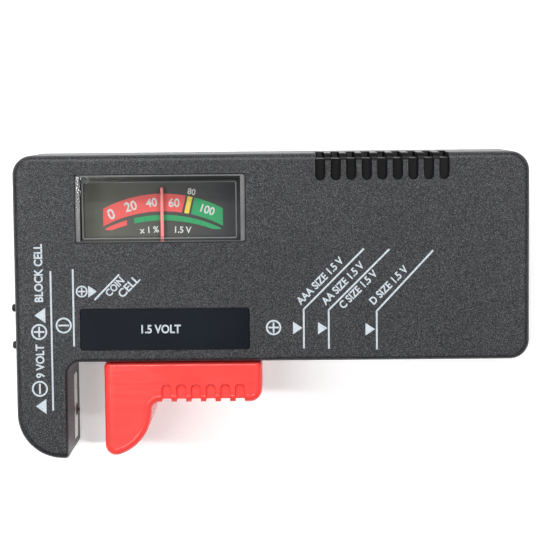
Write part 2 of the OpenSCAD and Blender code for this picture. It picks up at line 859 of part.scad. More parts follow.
module contact_rail() {
    lug = 2.8;
    color(nickel) difference() {
        union() {
            translate([rail_left, section_bottom + wall + fit, rail_z])
                cube([rail_right - rail_left, sheet, rail_width]);
            translate([rail_right - sheet, section_bottom + wall + fit, rail_z + 1])
                cube([sheet, lug, rail_width - 2]);
        }
        for (x = rail_stake_xs())
            translate([x, section_bottom + wall + 2 * sheet, rail_z + rail_width / 2])
                rotate([90, 0, 0]) cylinder(h = 3 * sheet, r = rail_stake_radius + fit, $fn = 24);
    }
}

// ---------------------------------------------------------- circuit board

module circuit_board() {
    color("#2f6b3c") difference() {
        translate([board_left, board_bottom, board_rear])
            cube([board_size[0], board_size[1], board_thickness - fit]);
        place_all(board_screw_places) translate([0, 0, board_rear - cut])
            cylinder(h = board_thickness + 2 * cut, r = small_screw_radius + fit);
    }
}

module board_screws() {
    color(zinc) place_all(board_screw_places) translate([0, 0, board_rear - small_head_height])
        screw(small_head_radius, small_head_height, small_screw_radius, 7);
}

// Axial resistor on the board's front side, with bent leads
module resistor(centre, length, radius) {
    lead = 0.3;
    reach = length / 2 + 1.2;
    height = radius + 0.3;
    translate([centre[0], centre[1], board_front + height]) {
        rotate([0, 90, 0]) translate([0, 0, -length / 2]) cylinder(h = length, r = radius, $fn = 32);
        rotate([0, 90, 0]) translate([0, 0, -reach]) cylinder(h = 2 * reach, r = lead, $fn = 16);
        for (side = [-1, 1]) translate([side * reach, 0, -height + fit])
            cylinder(h = height + lead - fit, r = lead, $fn = 16);
    }
}

module load_resistor() {
    color("#d9c9a3") resistor([17, 9.5], 9, 1.6);
}

module meter_resistor() {
    color("#6f9fc4") resistor([16, 14], 6, 1.1);
}

module nine_volt_resistor() {
    color("#6f9fc4") resistor([16, 17.6], 6, 1.1);
}

module jaw_wire() {
    color("#26282b") tube(jaw_wire_route, wire_radius);
}

module nine_volt_positive_wire() {
    color("#c8322e") tube(nine_volt_positive_route, wire_radius);
}

module nine_volt_negative_wire() {
    color("#2e5fa8") tube(nine_volt_negative_route, wire_radius);
}

module rail_wire() {
    color("#c8322e") tube(rail_route, wire_radius);
}

module meter_positive_wire() {
    color("#d8b52e") tube(meter_positive_route, wire_radius);
}

module meter_negative_wire() {
    color("#e6e6e2") tube(meter_negative_route, wire_radius);
}

// ------------------------------------------------------------ sliding jaw

// Outline of the sliding jaw, shrunk by inset
module slider_plan(inset) {
    leg_right = slider_left + leg_radius;
    difference() {
        union() {
            intersection() {
                translate([slider_left, leg_centre_y]) circle(leg_radius - inset, $fn = 96);
                translate([slider_left + inset, jaw_tip]) square(2 * leg_radius);
            }
            translate([slider_left + inset, leg_centre_y])
                square([leg_radius - 2 * inset, slider_top - leg_centre_y - inset]);
            rounded_rect(
                [slider_left + inset, bar_bottom + inset],
                [slider_right - inset, slider_top - inset],
                slider_heel - inset
            );
            translate([slider_left + inset, slider_top - bar_height / 2])
                square([slider_length - 2 * inset, bar_height / 2 - inset]);
            difference() {
                translate([leg_right - inset - cut, leg_centre_y])
                    square([leg_fillet + inset + cut, leg_fillet + inset + cut]);
                translate([leg_right + leg_fillet, leg_centre_y]) circle(leg_fillet + inset);
            }
        }
        translate([slider_left + inset, jaw_tip + inset]) difference() {
            translate([-cut, -cut]) square(slider_toe - inset + cut);
            translate([slider_toe - inset, slider_toe - inset]) circle(slider_toe - inset);
        }
    }
}

// Arched recess in the front face that ends as a notch in the bar's lower edge
module grip_notch() {
    translate([-notch_width / 2, bar_bottom - cut, slider_front - notch_depth])
        cube([notch_width, notch_top - notch_width / 2 - bar_bottom + cut, notch_depth + cut]);
    translate([0, notch_top - notch_width / 2, slider_front - notch_depth])
        cylinder(h = notch_depth + cut, r = notch_width / 2);
    translate([-notch_width / 2, bar_bottom - cut, slider_rear - cut])
        cube([notch_width, cut + notch_depth, slider_depth + 2 * cut]);
}

module slider() {
    color(signal_red) difference() {
        union() {
            difference() {
                translate([0, 0, slider_rear])
                    linear_extrude(slider_depth, convexity = 6) slider_plan(0);
                translate([0, 0, slider_front - slider_rounding]) slider_waste(slider_rounding);
                translate([0, 0, slider_rear - cut])
                    linear_extrude(slider_depth - wall + cut, convexity = 6) slider_plan(wall);
                for (i = [0:notch_count - 1])
                    translate([notch_first_x + i * notch_pitch, 0, 0]) grip_notch();
            }
            translate([tongue_x - tongue_length / 2, slider_top - wall, tongue_z - tongue_thickness / 2])
                cube([tongue_length, foot_bottom - slider_top + wall - fit, tongue_thickness]);
        }
        translate([slider_left - cut, slider_window_low[0], slider_window_low[1]])
            cube([wall + 2 * cut, slider_window[0], slider_window[1]]);
        translate([tongue_x, foot_bottom + cut, tongue_z]) rotate([90, 0, 0])
            cylinder(h = foot_bottom - slider_top + wall + 2 * cut, r = slider_screw_radius + fit);
    }
}

// Plate in the sliding jaw's left face, with the strip that leads to the screw
module slider_contact() {
    strip_width = 4;
    strip_y = slider_top - wall - sheet - fit;
    strip_end = 3;
    inside = slider_left + wall;
    flange = 0.6;
    // the flange's lower edge stays clear of the leg's curved wall
    flange_bottom = slider_window_low[0] - flange / 3;
    window_top = slider_window_low[0] + slider_window[0];
    color(nickel) {
        translate([slider_left + fit, slider_window_low[0] + 2 * fit, slider_window_low[1] + 2 * fit])
            cube([wall, slider_window[0] - 4 * fit, slider_window[1] - 4 * fit]);
        translate([inside + fit, flange_bottom, slider_window_low[1] - flange])
            cube([sheet, window_top + flange - flange_bottom, slider_window[1] + 2 * flange]);
        translate([inside + fit, window_top, tongue_z - strip_width / 2])
            cube([sheet, strip_y + sheet - window_top, strip_width]);
        difference() {
            translate([inside + fit, strip_y, tongue_z - strip_width / 2])
                cube([tongue_x - inside + strip_end, sheet, strip_width]);
            translate([tongue_x, strip_y + cut, tongue_z]) rotate([90, 0, 0])
                cylinder(h = 2 * cut, r = slider_screw_radius + fit);
        }
    }
}

module slider_foot() {
    color("#d9d9d4") difference() {
        translate([tongue_x - foot_length / 2, foot_bottom, tongue_z - foot_width / 2])
            cube([foot_length, foot_thickness, foot_width]);
        translate([tongue_x, foot_top + cut, tongue_z]) rotate([90, 0, 0])
            cylinder(h = foot_thickness + 2 * cut, r = slider_screw_radius + fit);
    }
}

// Leaf spring clamped on the foot, bent down on to the contact rail
module slider_wiper() {
    width = 6;
    rail_top = section_bottom + wall + fit + sheet;
    touch_y = rail_top + fit;
    leaf_y = foot_top + fit;
    rear_z = tongue_z - width / 2;
    knee_z = tongue_z + foot_width / 2 + 0.4;
    tip_z = rail_z + rail_width / 2;
    curl = [1.2, 1.4];
    color(bronze) difference() {
        translate([tongue_x - width / 2, 0, 0]) rotate([90, 0, 90]) linear_extrude(width)
            polygon([
                [leaf_y, rear_z], [leaf_y + leaf, rear_z],
                [leaf_y + leaf, knee_z], [touch_y + leaf, tip_z],
                [touch_y + curl[0], tip_z + curl[1]], [touch_y + curl[0] - leaf, tip_z + curl[1] + leaf],
                [touch_y, tip_z], [leaf_y, knee_z - leaf / 2]
            ]);
        translate([tongue_x, foot_top + cut, tongue_z]) rotate([90, 0, 0])
            cylinder(h = 2 * cut, r = slider_screw_radius + fit);
    }
}

module slider_screw() {
    head = 0.9;
    length = 9.6;
    color(zinc) translate([tongue_x, foot_top + leaf + 2 * fit + head, tongue_z]) rotate([90, 0, 0])
        screw(small_head_radius, head, slider_screw_radius, length);
}

module slider_nut() {
    thickness = 1.6;
    radius = 2.3;
    color("#b8b8b4") translate([tongue_x, slider_top - wall - sheet - 2 * fit, tongue_z])
        rotate([90, 0, 0]) difference() {
            cylinder(h = thickness, r = radius, $fn = 6);
            translate([0, 0, -cut])
                cylinder(h = thickness + 2 * cut, r = slider_screw_radius + fit, $fn = 48);
        }
}

front_cover();
rear_cover();
case_screws();
label_plate();
meter_lens();
meter_case();
meter_screws();
meter_terminals();
dial_plate();
dial_screws();
needle_stops();
meter_yoke();
core_magnet();
core_bracket();
lower_bridge();
upper_bridge();
jewel_screws();
upper_hairspring();
lower_hairspring();
needle();
counterweight();
moving_coil();
coil_pivots();
jaw_contact();
nine_volt_positive_contact();
nine_volt_negative_contact();
contact_rail();
circuit_board();
board_screws();
load_resistor();
meter_resistor();
nine_volt_resistor();
jaw_wire();
nine_volt_positive_wire();
nine_volt_negative_wire();
rail_wire();
meter_positive_wire();
meter_negative_wire();
slider();
slider_contact();
slider_foot();
slider_wiper();
slider_screw();
slider_nut();
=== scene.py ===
"""Looks of an analogue battery tester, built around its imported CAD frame.

Lengths in the helpers below are in millimetres; meshes are written in metres.
"""
import math

import bmesh
import bpy
from mathutils import Matrix, Vector


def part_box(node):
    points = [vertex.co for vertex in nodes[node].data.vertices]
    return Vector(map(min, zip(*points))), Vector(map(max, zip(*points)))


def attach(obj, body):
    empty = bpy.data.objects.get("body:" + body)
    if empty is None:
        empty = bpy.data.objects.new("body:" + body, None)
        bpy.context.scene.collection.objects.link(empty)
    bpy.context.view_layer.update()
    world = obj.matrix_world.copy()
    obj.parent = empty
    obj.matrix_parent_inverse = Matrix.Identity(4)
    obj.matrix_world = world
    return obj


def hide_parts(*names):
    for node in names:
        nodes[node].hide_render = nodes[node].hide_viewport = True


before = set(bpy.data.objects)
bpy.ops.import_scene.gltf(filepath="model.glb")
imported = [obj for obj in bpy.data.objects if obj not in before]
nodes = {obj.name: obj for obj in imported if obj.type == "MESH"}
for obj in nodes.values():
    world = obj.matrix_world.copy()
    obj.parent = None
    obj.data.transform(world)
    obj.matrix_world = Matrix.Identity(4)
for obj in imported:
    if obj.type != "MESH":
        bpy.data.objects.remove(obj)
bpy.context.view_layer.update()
scene = bpy.context.scene
MM = 0.001


def box_mm(node):
    low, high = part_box(node)
    return low / MM, high / MM


# ---------------------------------------------------------------- dimensions

shell_low, shell_high = box_mm("front_cover")
slider_low, slider_high = box_mm("slider")
lens_low, lens_high = box_mm("meter_lens")
label_low, label_high = box_mm("label_plate")

PIP_HEIGHT = 2.2
LEFT = shell_low.x + PIP_HEIGHT
RIGHT = shell_high.x
TOP = shell_high.y
JAW_TIP = shell_low.y
SPLIT = shell_low.z
FRONT = shell_high.z
WALL = 2.0
JAW_FACE = LEFT + 10.7
SECTION_BOTTOM = TOP - 43.35
CORNER_RADIUS = 4.0
JAW_RADIUS = 9.5
JAW_FILLET = 2.8
JAW_TOE = 0.7

PIVOT = Vector((-21.85, 4.2))
NEEDLE_REACH = 20.7
WINDOW_SIZE = Vector((35.2, 13.95))
WINDOW_LOW = Vector((PIVOT.x - WINDOW_SIZE.x / 2, 13.7))
WINDOW_HIGH = WINDOW_LOW + WINDOW_SIZE
DIAL_FRONT = 16.0

TONGUE_X = slider_low.x + 16.8
TONGUE_Z = 10.0
SLIDER_TOP = SECTION_BOTTOM - 0.3
SLIDER_FRONT = slider_high.z
SLIDER_REAR = slider_low.z
LEG_RADIUS = 9.9
LEG_Y = JAW_TIP + LEG_RADIUS
BAR_BOTTOM = SLIDER_TOP - 8.5
NOTCH_COUNT = 6
NOTCH_PITCH = 3.09
NOTCH_X = slider_low.x + 13.1
NOTCH_TOP = SLIDER_TOP - 4.65
NOTCH_WIDTH = 1.95
NOTCH_DEPTH = 0.75

CASE_SCREWS = [(-47, 26), (50.2, 26.8), (50.2, -5.5), (-47.2, -26)]
BOARD_SCREWS = [(6, 18), (28, 6)]
METER_SCREWS = [(PIVOT.x - 20.4, 21), (PIVOT.x + 20.4, 21)]
NINE_VOLT_Y = (-5.0, -17.7)
NINE_VOLT_Z = 11.5
PIP_SPACING = 8.0


# ------------------------------------------------------------------- meshes

def mesh_object(name, verts, faces):
    """Object with a mesh in millimetres, until finish_piece() scales it."""
    mesh = bpy.data.meshes.new(name)
    mesh.from_pydata([Vector(v) for v in verts], [], faces)
    bm = bmesh.new()
    bm.from_mesh(mesh)
    bmesh.ops.remove_doubles(bm, verts=bm.verts, dist=0.001)
    bmesh.ops.recalc_face_normals(bm, faces=bm.faces)
    bm.to_mesh(mesh)
    bm.free()
    piece = bpy.data.objects.new(name, mesh)
    scene.collection.objects.link(piece)
    return piece


def loft(name, rings):
    """Closed solid through rings that all have the same number of points."""
    count = len(rings[0])
    verts = [p for ring in rings for p in ring]
    faces = [tuple(reversed(range(count)))]
    for i in range(len(rings) - 1):
        for k in range(count):
            a, b = i * count + k, i * count + (k + 1) % count
            faces.append((a, b, b + count, a + count))
    faces.append(tuple(range((len(rings) - 1) * count, len(rings) * count)))
    return mesh_object(name, verts, faces)


def place(axis, u, v, w):
    """Point with w along an axis and u, v across it."""
    return {"x": (w, u, v), "y": (v, w, u), "z": (u, v, w)}[axis]


def turned(axis, centre, stations, sides=40, name="turned"):
    """Solid of revolution; stations are (place along the axis, radius)."""
    rings = []
    for w, radius in stations:
        rings.append([
            place(axis, centre[0] + radius * math.cos(a), centre[1] + radius * math.sin(a), w)
            for a in (2 * math.pi * k / sides for k in range(sides))
        ])
    return loft(name, rings)


def rectangle(low, high, radius=0.0, steps=6):
    """Points round a rectangle with round corners."""
    corners = [
        (low[0], high[1], 180, 90), (low[0], low[1], 270, 180),
        (high[0], low[1], 360, 270), (high[0], high[1], 90, 0),
    ]
    points = []
    for x, y, end, start in corners:
        cx = x + radius if x == low[0] else x - radius
        cy = y + radius if y == low[1] else y - radius
        for k in range(steps + 1):
            a = math.radians(start + (end - start) * k / steps)
            points.append((cx + radius * math.cos(a), cy + radius * math.sin(a)))
    return points


def block(axis, low, high, stations, radius=0.05, name="block"):
    """Rectangular solid along an axis; stations are (place along it, growth)."""
    rings = []
    for w, grow in stations:
        outline = rectangle(
            (low[0] - grow, low[1] - grow), (high[0] + grow, high[1] + grow), max(radius + grow, 0.02)
        )
        rings.append([place(axis, u, v, w) for u, v in outline])
    return loft(name, rings)


def combine(piece, parts, operation):
    """Applies one boolean operation with each part, and removes the parts."""
    for part in parts:
        step = piece.modifiers.new("combine", "BOOLEAN")
        step.operation = operation
        step.solver = "EXACT"
        step.object = part
    solved = bpy.data.meshes.new_from_object(
        piece.evaluated_get(bpy.context.evaluated_depsgraph_get())
    )
    piece.modifiers.clear()
    old = piece.data
    piece.data = solved
    bpy.data.meshes.remove(old)
    for part in parts:
        bpy.data.objects.remove(part)
    return piece


def cut(piece, *cutters):
    return combine(piece, cutters, "DIFFERENCE")


def add(piece, *extras):
    return combine(piece, extras, "UNION")


def smooth(piece, angle=32):
    piece.data.shade_smooth()
    piece.data.set_sharp_from_angle(angle=math.radians(angle))
    weighted = piece.modifiers.new("normals", "WEIGHTED_NORMAL")
    weighted.keep_sharp = True
    return piece


def finish_piece(piece, body, materials, replaced=(), angle=32):
    """Shades a piece, gives it its materials and hangs it on its body."""
    piece.data.transform(Matrix.Scale(MM, 4))
    piece.data.materials.clear()
    for material in materials:
        piece.data.materials.append(material)
    smooth(piece, angle)
    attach(piece, body)
    if replaced:
        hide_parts(*replaced)
    return piece


# ---------------------------------------------------------------- materials

class Nodes:
    """A material's node tree, with short calls to add and link nodes."""

    def __init__(self, name):
        self.material = bpy.data.materials.new(name)
        self.material.use_nodes = True
        self.tree = self.material.node_tree
        self.shader = self.tree.nodes["Principled BSDF"]

    def add(self, kind, **inputs):
        node = self.tree.nodes.new(kind)
        for key, value in inputs.items():
            self.set(node, key, value)
        return node

    def set(self, node, key, value):
        socket = node.inputs[key.replace("_", " ")]
        if isinstance(value, bpy.types.NodeSocket):
            self.tree.links.new(value, socket)
        else:
            socket.default_value = value

    def coordinates(self):
        return self.add("ShaderNodeTexCoord").outputs["Object"]

    def noise(self, scale, detail=2.0, roughness=0.5, vector=None):
        node = self.add("ShaderNodeTexNoise", Scale=scale, Detail=detail, Roughness=roughness)
        self.set(node, "Vector", vector or self.coordinates())
        return node.outputs["Fac"]

    def ramp(self, value, *stops):
        node = self.add("ShaderNodeValToRGB", Fac=value)
        elements = node.color_ramp.elements
        while len(elements) < len(stops):
            elements.new(0.5)
        for element, (position, colour) in zip(elements, stops):
            element.position = position
            element.color = (*colour, 1.0) if len(colour) == 3 else colour
        return node.outputs["Color"]

    def multiply(self, first, second):
        node = self.add("ShaderNodeMix")
        node.data_type = "RGBA"
        node.blend_type = "MULTIPLY"
        node.inputs["Factor"].default_value = 1.0
        self.tree.links.new(first, node.inputs[6])
        self.tree.links.new(second, node.inputs[7])
        return node.outputs[2]

    def bump(self, height, distance, strength=1.0, normal=None):
        node = self.add("ShaderNodeBump", Height=height, Strength=strength, Distance=distance)
        if normal:
            self.set(node, "Normal", normal)
        return node.outputs["Normal"]

    def finish(self, **inputs):
        for key, value in inputs.items():
            self.set(self.shader, key, value)
        return self.material


def grey(level):
    return (level, level, level)


def textured_plastic(name, dark, light, roughness):
    """Moulded plastic with a fine spark-eroded grain."""
    m = Nodes(name)
    grain = m.noise(6200, 1.5, 0.6)
    between = [0.20 * (a + b) for a, b in zip(dark, light)]
    speckle = m.ramp(grain, (0.42, dark), (0.54, between), (0.66, light))
    cloud = m.ramp(m.noise(60, 3.0), (0.3, grey(0.82)), (0.7, grey(1.0)))
    normal = m.bump(grain, 0.00004, 0.9)
    normal = m.bump(m.noise(1100, 2.0), 0.00003, 0.4, normal)
    m.set(m.shader, "Specular_IOR_Level", 0.30)
    return m.finish(
        Base_Color=m.multiply(speckle, cloud), Normal=normal,
        Roughness=m.ramp(grain, (0.3, grey(roughness)), (0.75, grey(roughness - 0.25)))
    )


def gloss_plastic(name, colour, deep, roughness, subsurface=0.0, shine=0.5):
    """Polished moulding with faint flow marks and fine hairline scratches."""
    m = Nodes(name)
    flow = m.noise(60, 3.0)
    tint = m.ramp(flow, (0.35, deep), (0.65, colour))
    stretch = m.add("ShaderNodeMapping", Vector=m.coordinates())
    stretch.inputs["Scale"].default_value = (150.0, 2600.0, 900.0)
    scratch = m.noise(1.0, 3.0, 0.6, stretch.outputs["Vector"])
    normal = m.bump(flow, 0.0001, 0.05)
    normal = m.bump(scratch, 0.000006, 0.06, normal)
    m.set(m.shader, "Specular_IOR_Level", shine)
    m.set(m.shader, "Subsurface_Weight", subsurface)
    m.set(m.shader, "Subsurface_Scale", 0.0012)
    m.shader.inputs["Subsurface Radius"].default_value = (1.0, 0.25, 0.2)
    return m.finish(
        Base_Color=tint, Normal=normal,
        Roughness=m.ramp(scratch, (0.35, grey(roughness)), (0.75, grey(roughness + 0.10)))
    )


def metal(name, colour, worn, roughness, lines=(400.0, 400.0, 400.0)):
    """Plated or rolled metal with fine lines and a little tarnish."""
    m = Nodes(name)
    stretch = m.add("ShaderNodeMapping", Vector=m.coordinates())
    stretch.inputs["Scale"].default_value = lines
    fine = m.noise(1.0, 4.0, 0.6, stretch.outputs["Vector"])
    tarnish = m.noise(420, 3.0)
    return m.finish(
        Metallic=1.0,
        Base_Color=m.ramp(tarnish, (0.35, worn), (0.62, colour)),
        Roughness=m.ramp(fine, (0.3, grey(roughness)), (0.75, grey(roughness + 0.16))),
        Normal=m.bump(fine, 0.00003, 0.25)
    )


def printed(name, colour, worn, roughness=0.5):
    """Screen-printed ink with slightly uneven cover."""
    m = Nodes(name)
    cover = m.noise(2400, 2.0)
    return m.finish(
        Base_Color=m.ramp(cover, (0.36, worn), (0.52, colour)),
        Roughness=m.ramp(cover, (0.3, grey(roughness)), (0.7, grey(roughness + 0.15))),
        Normal=m.bump(cover, 0.00002, 0.2)
    )


def plain(name, colour, roughness, grain=900):
    """Dull moulding, laminate or insulation with a faint mottle."""
    m = Nodes(name)
    mottle = m.noise(grain, 3.0)
    darker = [0.78 * c for c in colour]
    return m.finish(
        Base_Color=m.ramp(mottle, (0.35, darker), (0.65, colour)),
        Roughness=m.ramp(mottle, (0.3, grey(roughness)), (0.7, grey(roughness + 0.12))),
        Normal=m.bump(mottle, 0.00005, 0.2)
    )


def painted_reflection_sweep(name, left, right, low_x, high_x):
    """Dull paint that changes from one shade to another along X; the lighter end is a painted reflection.
    """
    m = Nodes(name)
    separate = m.add("ShaderNodeSeparateXYZ", Vector=m.coordinates())
    share = m.add("ShaderNodeMapRange", Value=separate.outputs["X"])
    m.set(share, "From_Min", low_x * MM)
    m.set(share, "From_Max", high_x * MM)
    shade = m.ramp(share.outputs["Result"], (0.0, left), (1.0, right))
    mottle = m.noise(1200, 3.0)
    return m.finish(
        Base_Color=m.multiply(shade, m.ramp(mottle, (0.35, grey(0.86)), (0.65, grey(1.0)))),
        Roughness=m.ramp(mottle, (0.3, grey(0.6)), (0.7, grey(0.72))),
        Normal=m.bump(mottle, 0.00004, 0.2)
    )


def banded(name, colour, bands, first, pitch):
    """Lacquered resistor body with rings of colour along X."""
    m = Nodes(name)
    separate = m.add("ShaderNodeSeparateXYZ", Vector=m.coordinates())
    scaled = m.add("ShaderNodeMath")
    scaled.operation = "MULTIPLY_ADD"
    m.tree.links.new(separate.outputs["X"], scaled.inputs[0])
    scaled.inputs[1].default_value = 1 / (pitch * 2 * (len(bands) + 1) * MM)
    scaled.inputs[2].default_value = -first / (pitch * 2 * (len(bands) + 1))
    stops = [(0.0, colour)]
    for i, band in enumerate(bands):
        start = (2 * i + 1) / (2 * len(bands) + 2)
        stops += [(start, band), (start + 1 / (2 * len(bands) + 2), colour)]
    node = m.add("ShaderNodeValToRGB", Fac=scaled.outputs[0])
    node.color_ramp.interpolation = "CONSTANT"
    elements = node.color_ramp.elements
    while len(elements) < len(stops):
        elements.new(0.5)
    for element, (position, shade) in zip(elements, stops):
        element.position = position
        element.color = (*shade, 1.0)
    mottle = m.noise(1500, 2.0)
    return m.finish(
        Base_Color=node.outputs["Color"],
        Roughness=m.ramp(mottle, (0.3, grey(0.3)), (0.7, grey(0.42))),
        Normal=m.bump(mottle, 0.00003, 0.2)
    )


def clear_plastic(name, tint, gloss, veil, haze=0.15):
    """Clear moulding: light goes straight through, with a glossy reflection.

    The reflection's share grows at grazing angles; veil adds to it square on,
    and haze is how pale the surface is there.
    """
    m = Nodes(name)
    through = m.add("ShaderNodeBsdfTransparent")
    through.inputs["Color"].default_value = (*tint, 1.0)
    smudge = m.noise(130, 3.0)
    m.finish(
        Base_Color=m.ramp(smudge, (0.3, grey(0.7 * haze)), (0.7, grey(haze))),
        Roughness=m.ramp(smudge, (0.35, grey(gloss)), (0.75, grey(gloss + 0.06))),
    )
    facing = m.add("ShaderNodeLayerWeight", Blend=0.5).outputs["Facing"]
    grazing = m.add("ShaderNodeMath")
    grazing.operation = "POWER"
    m.tree.links.new(facing, grazing.inputs[0])
    grazing.inputs[1].default_value = 5.0
    share = m.add("ShaderNodeMath")
    share.operation = "MULTIPLY_ADD"
    m.tree.links.new(grazing.outputs[0], share.inputs[0])
    share.inputs[1].default_value = 0.6
    share.inputs[2].default_value = 0.04 + veil
    mix = m.add("ShaderNodeMixShader", Fac=share.outputs[0])
    m.tree.links.new(through.outputs["BSDF"], mix.inputs[1])
    m.tree.links.new(m.shader.outputs["BSDF"], mix.inputs[2])
    m.tree.links.new(mix.outputs["Shader"], m.tree.nodes["Material Output"].inputs["Surface"])
    return m.material


HOUSING = textured_plastic("housing_grain", (0.001, 0.0012, 0.0018), (0.098, 0.101, 0.113), 0.50)
RED = gloss_plastic("red_moulding", (0.90, 0.066, 0.058), (0.85, 0.054, 0.048), 0.15, 0.05, 0.7)
FILM = gloss_plastic("label_film", (0.0040, 0.0065, 0.0110), (0.0020, 0.0035, 0.0070), 0.34, 0.0, 0.10)
INK = printed("legend_ink", (0.46, 0.51, 0.55), (0.36, 0.41, 0.45))
# Near-black moulding for the finger grooves' walls and floors: painted shade in the recesses.
GROOVE_PAINTED_SHADE = gloss_plastic("groove_painted_shade", grey(0.004), grey(0.002), 0.30, 0.0, 0.12)
NUB_METAL = metal("nub_metal", (0.16, 0.15, 0.14), (0.08, 0.08, 0.08), 0.40)
NICKEL = metal("nickel_plate", (0.78, 0.77, 0.74), (0.60, 0.59, 0.56), 0.16, (300.0, 2400.0, 300.0))
STEEL = metal("zinc_plated_steel", (0.55, 0.56, 0.58), (0.38, 0.39, 0.41), 0.30)
IRON = metal("soft_iron", (0.30, 0.31, 0.33), (0.20, 0.20, 0.22), 0.42)
MAGNET = metal("cast_magnet", (0.14, 0.14, 0.15), (0.08, 0.08, 0.085), 0.50)
BRASS = metal("brass", (0.80, 0.60, 0.26), (0.62, 0.44, 0.18), 0.26)
BRONZE = metal("spring_bronze", (0.76, 0.46, 0.22), (0.58, 0.34, 0.16), 0.28, (2400.0, 300.0, 300.0))
COPPER = metal("enamelled_wire", (0.72, 0.30, 0.12), (0.45, 0.16, 0.07), 0.32, (300.0, 6000.0, 300.0))
JEWEL = gloss_plastic("jewel_setting", (0.55, 0.04, 0.08), (0.40, 0.03, 0.06), 0.12)
# Dark olive dial ground; its lighter left end is a painted reflection of the lens, and its darker right
# end is the ground's own colour.
DIAL = painted_reflection_sweep("dial_ground_painted_reflection", (0.122, 0.116, 0.092), (0.017, 0.018, 0.024), WINDOW_LOW.x, WINDOW_HIGH.x)
DIAL_RED = printed("dial_red", (0.76, 0.095, 0.088), (0.72, 0.082, 0.074))
DIAL_GREEN = printed("dial_green", (0.014, 0.300, 0.098), (0.012, 0.265, 0.088))
DIAL_YELLOW = printed("dial_yellow", (0.80, 0.58, 0.065), (0.74, 0.52, 0.060))
DIAL_WHITE = printed("dial_white", (0.62, 0.62, 0.60), (0.50, 0.50, 0.49))
NEEDLE = gloss_plastic("needle_paint", (0.84, 0.21, 0.21), (0.80, 0.18, 0.18), 0.30)
METER_BLACK = plain("meter_moulding", (0.022, 0.022, 0.025), 0.5)
BOARD = plain("board_laminate", (0.035, 0.20, 0.075), 0.4, 500)
FOOT = plain("acetal", (0.72, 0.72, 0.68), 0.4)
LENS_PANE = clear_plastic("lens_pane", (0.98, 0.99, 0.99), 0.04, -0.015)
LENS_WALL = clear_plastic("lens_wall", (0.50, 0.52, 0.52), 0.10, 0.10)
# Clear plastic for the lens's slanted edges and strips: its pale haze is a painted highlight, while its
# gloss reflection is real.
LENS_EDGE_PAINTED_HIGHLIGHT = clear_plastic("lens_edge_painted_highlight", (0.75, 0.77, 0.78), 0.08, 0.20, 0.7)
BAND_BROWN, BAND_BLACK, BAND_RED = (0.16, 0.06, 0.02), grey(0.01), (0.5, 0.05, 0.02)
TAN_RESISTOR = banded(
    "resistor_tan", (0.62, 0.50, 0.33), [BAND_BROWN, BAND_BLACK, BAND_BLACK], 13.4, 0.9
)
BLUE_RESISTOR = banded(
    "resistor_blue", (0.10, 0.26, 0.42), [BAND_RED, BAND_BLACK, BAND_BROWN], 13.6, 0.6
)

NODE_MATERIALS = {
    "case_screws": STEEL, "meter_screws": STEEL, "board_screws": STEEL, "slider_screw": STEEL,
    "slider_nut": STEEL, "coil_pivots": STEEL, "needle_stops": STEEL, "counterweight": STEEL,
    "meter_case": METER_BLACK, "meter_terminals": BRASS, "dial_plate": DIAL, "dial_screws": BRASS,
    "meter_yoke": IRON, "core_magnet": MAGNET, "core_bracket": BRASS, "lower_bridge": BRASS,
    "upper_bridge": BRASS, "jewel_screws": JEWEL, "upper_hairspring": BRONZE,
    "lower_hairspring": BRONZE, "moving_coil": COPPER, "contact_rail": NICKEL,
    "nine_volt_positive_contact": NICKEL, "nine_volt_negative_contact": NICKEL,
    "slider_contact": NICKEL, "slider_wiper": BRONZE, "slider_foot": FOOT,
    "circuit_board": BOARD, "load_resistor": TAN_RESISTOR, "meter_resistor": BLUE_RESISTOR,
    "nine_volt_resistor": BLUE_RESISTOR,
    "jaw_wire": plain("wire_black", grey(0.015), 0.45),
    "rail_wire": plain("wire_red", (0.50, 0.02, 0.02), 0.45),
    "nine_volt_positive_wire": plain("wire_red_bright", (0.62, 0.03, 0.02), 0.45),
    "nine_volt_negative_wire": plain("wire_blue", (0.02, 0.09, 0.38), 0.45),
    "meter_positive_wire": plain("wire_yellow", (0.72, 0.46, 0.03), 0.45),
    "meter_negative_wire": plain("wire_white", grey(0.72), 0.45),
}
for node_name, node_material in NODE_MATERIALS.items():
    data = nodes[node_name].data
    data.materials.clear()
    data.materials.append(node_material)


# ------------------------------------------------------------------ housing

def arc(centre, radius, start, end, steps=14):
    """Points along an arc; the angles are in degrees."""
    angles = [math.radians(start + (end - start) * k / steps) for k in range(steps + 1)]
    return [(centre[0] + radius * math.cos(a), centre[1] + radius * math.sin(a)) for a in angles]


def housing_outline(outer, face, section):
    """Housing outline with the outer edges, jaw face and section drawn in."""
    corner = CORNER_RADIUS - outer
    inner_corner = CORNER_RADIUS - max(outer, section)
    fillet = JAW_FILLET + max(face, section)
    toe = max(JAW_TOE - outer, 0.0)
    jaw_face = JAW_FACE - face
    jaw_radius = JAW_RADIUS - outer
    jaw_centre = (LEFT + JAW_RADIUS, JAW_TIP + JAW_RADIUS)
    reach = min((jaw_face - toe - jaw_centre[0]) / jaw_radius, 0.0)  # below 0 where the arc meets the face
    jaw_end = 180 + math.degrees(math.acos(-reach))
    jaw_low = jaw_centre[1] - jaw_radius * math.sqrt(1 - reach ** 2)
    section_bottom = SECTION_BOTTOM + section
    return (
        arc((LEFT + outer + corner, TOP - outer - corner), corner, 90, 180)
        + arc(jaw_centre, jaw_radius, 180, jaw_end, 20)
        + arc((jaw_face - toe, jaw_low + toe), toe, 270, 360, 6)
        + arc((jaw_face + fillet, section_bottom - fillet), fillet, 180, 90)
        + arc((RIGHT - outer - inner_corner, section_bottom + inner_corner), inner_corner, 270, 360)
        + arc((RIGHT - outer - corner, TOP - outer - corner), corner, 0, 90)
    )


def ring(outline, z):
    return [(p[0], p[1], z) for p in outline]


def even_ring(inset, z):
    return ring(housing_outline(inset, inset, inset), z)


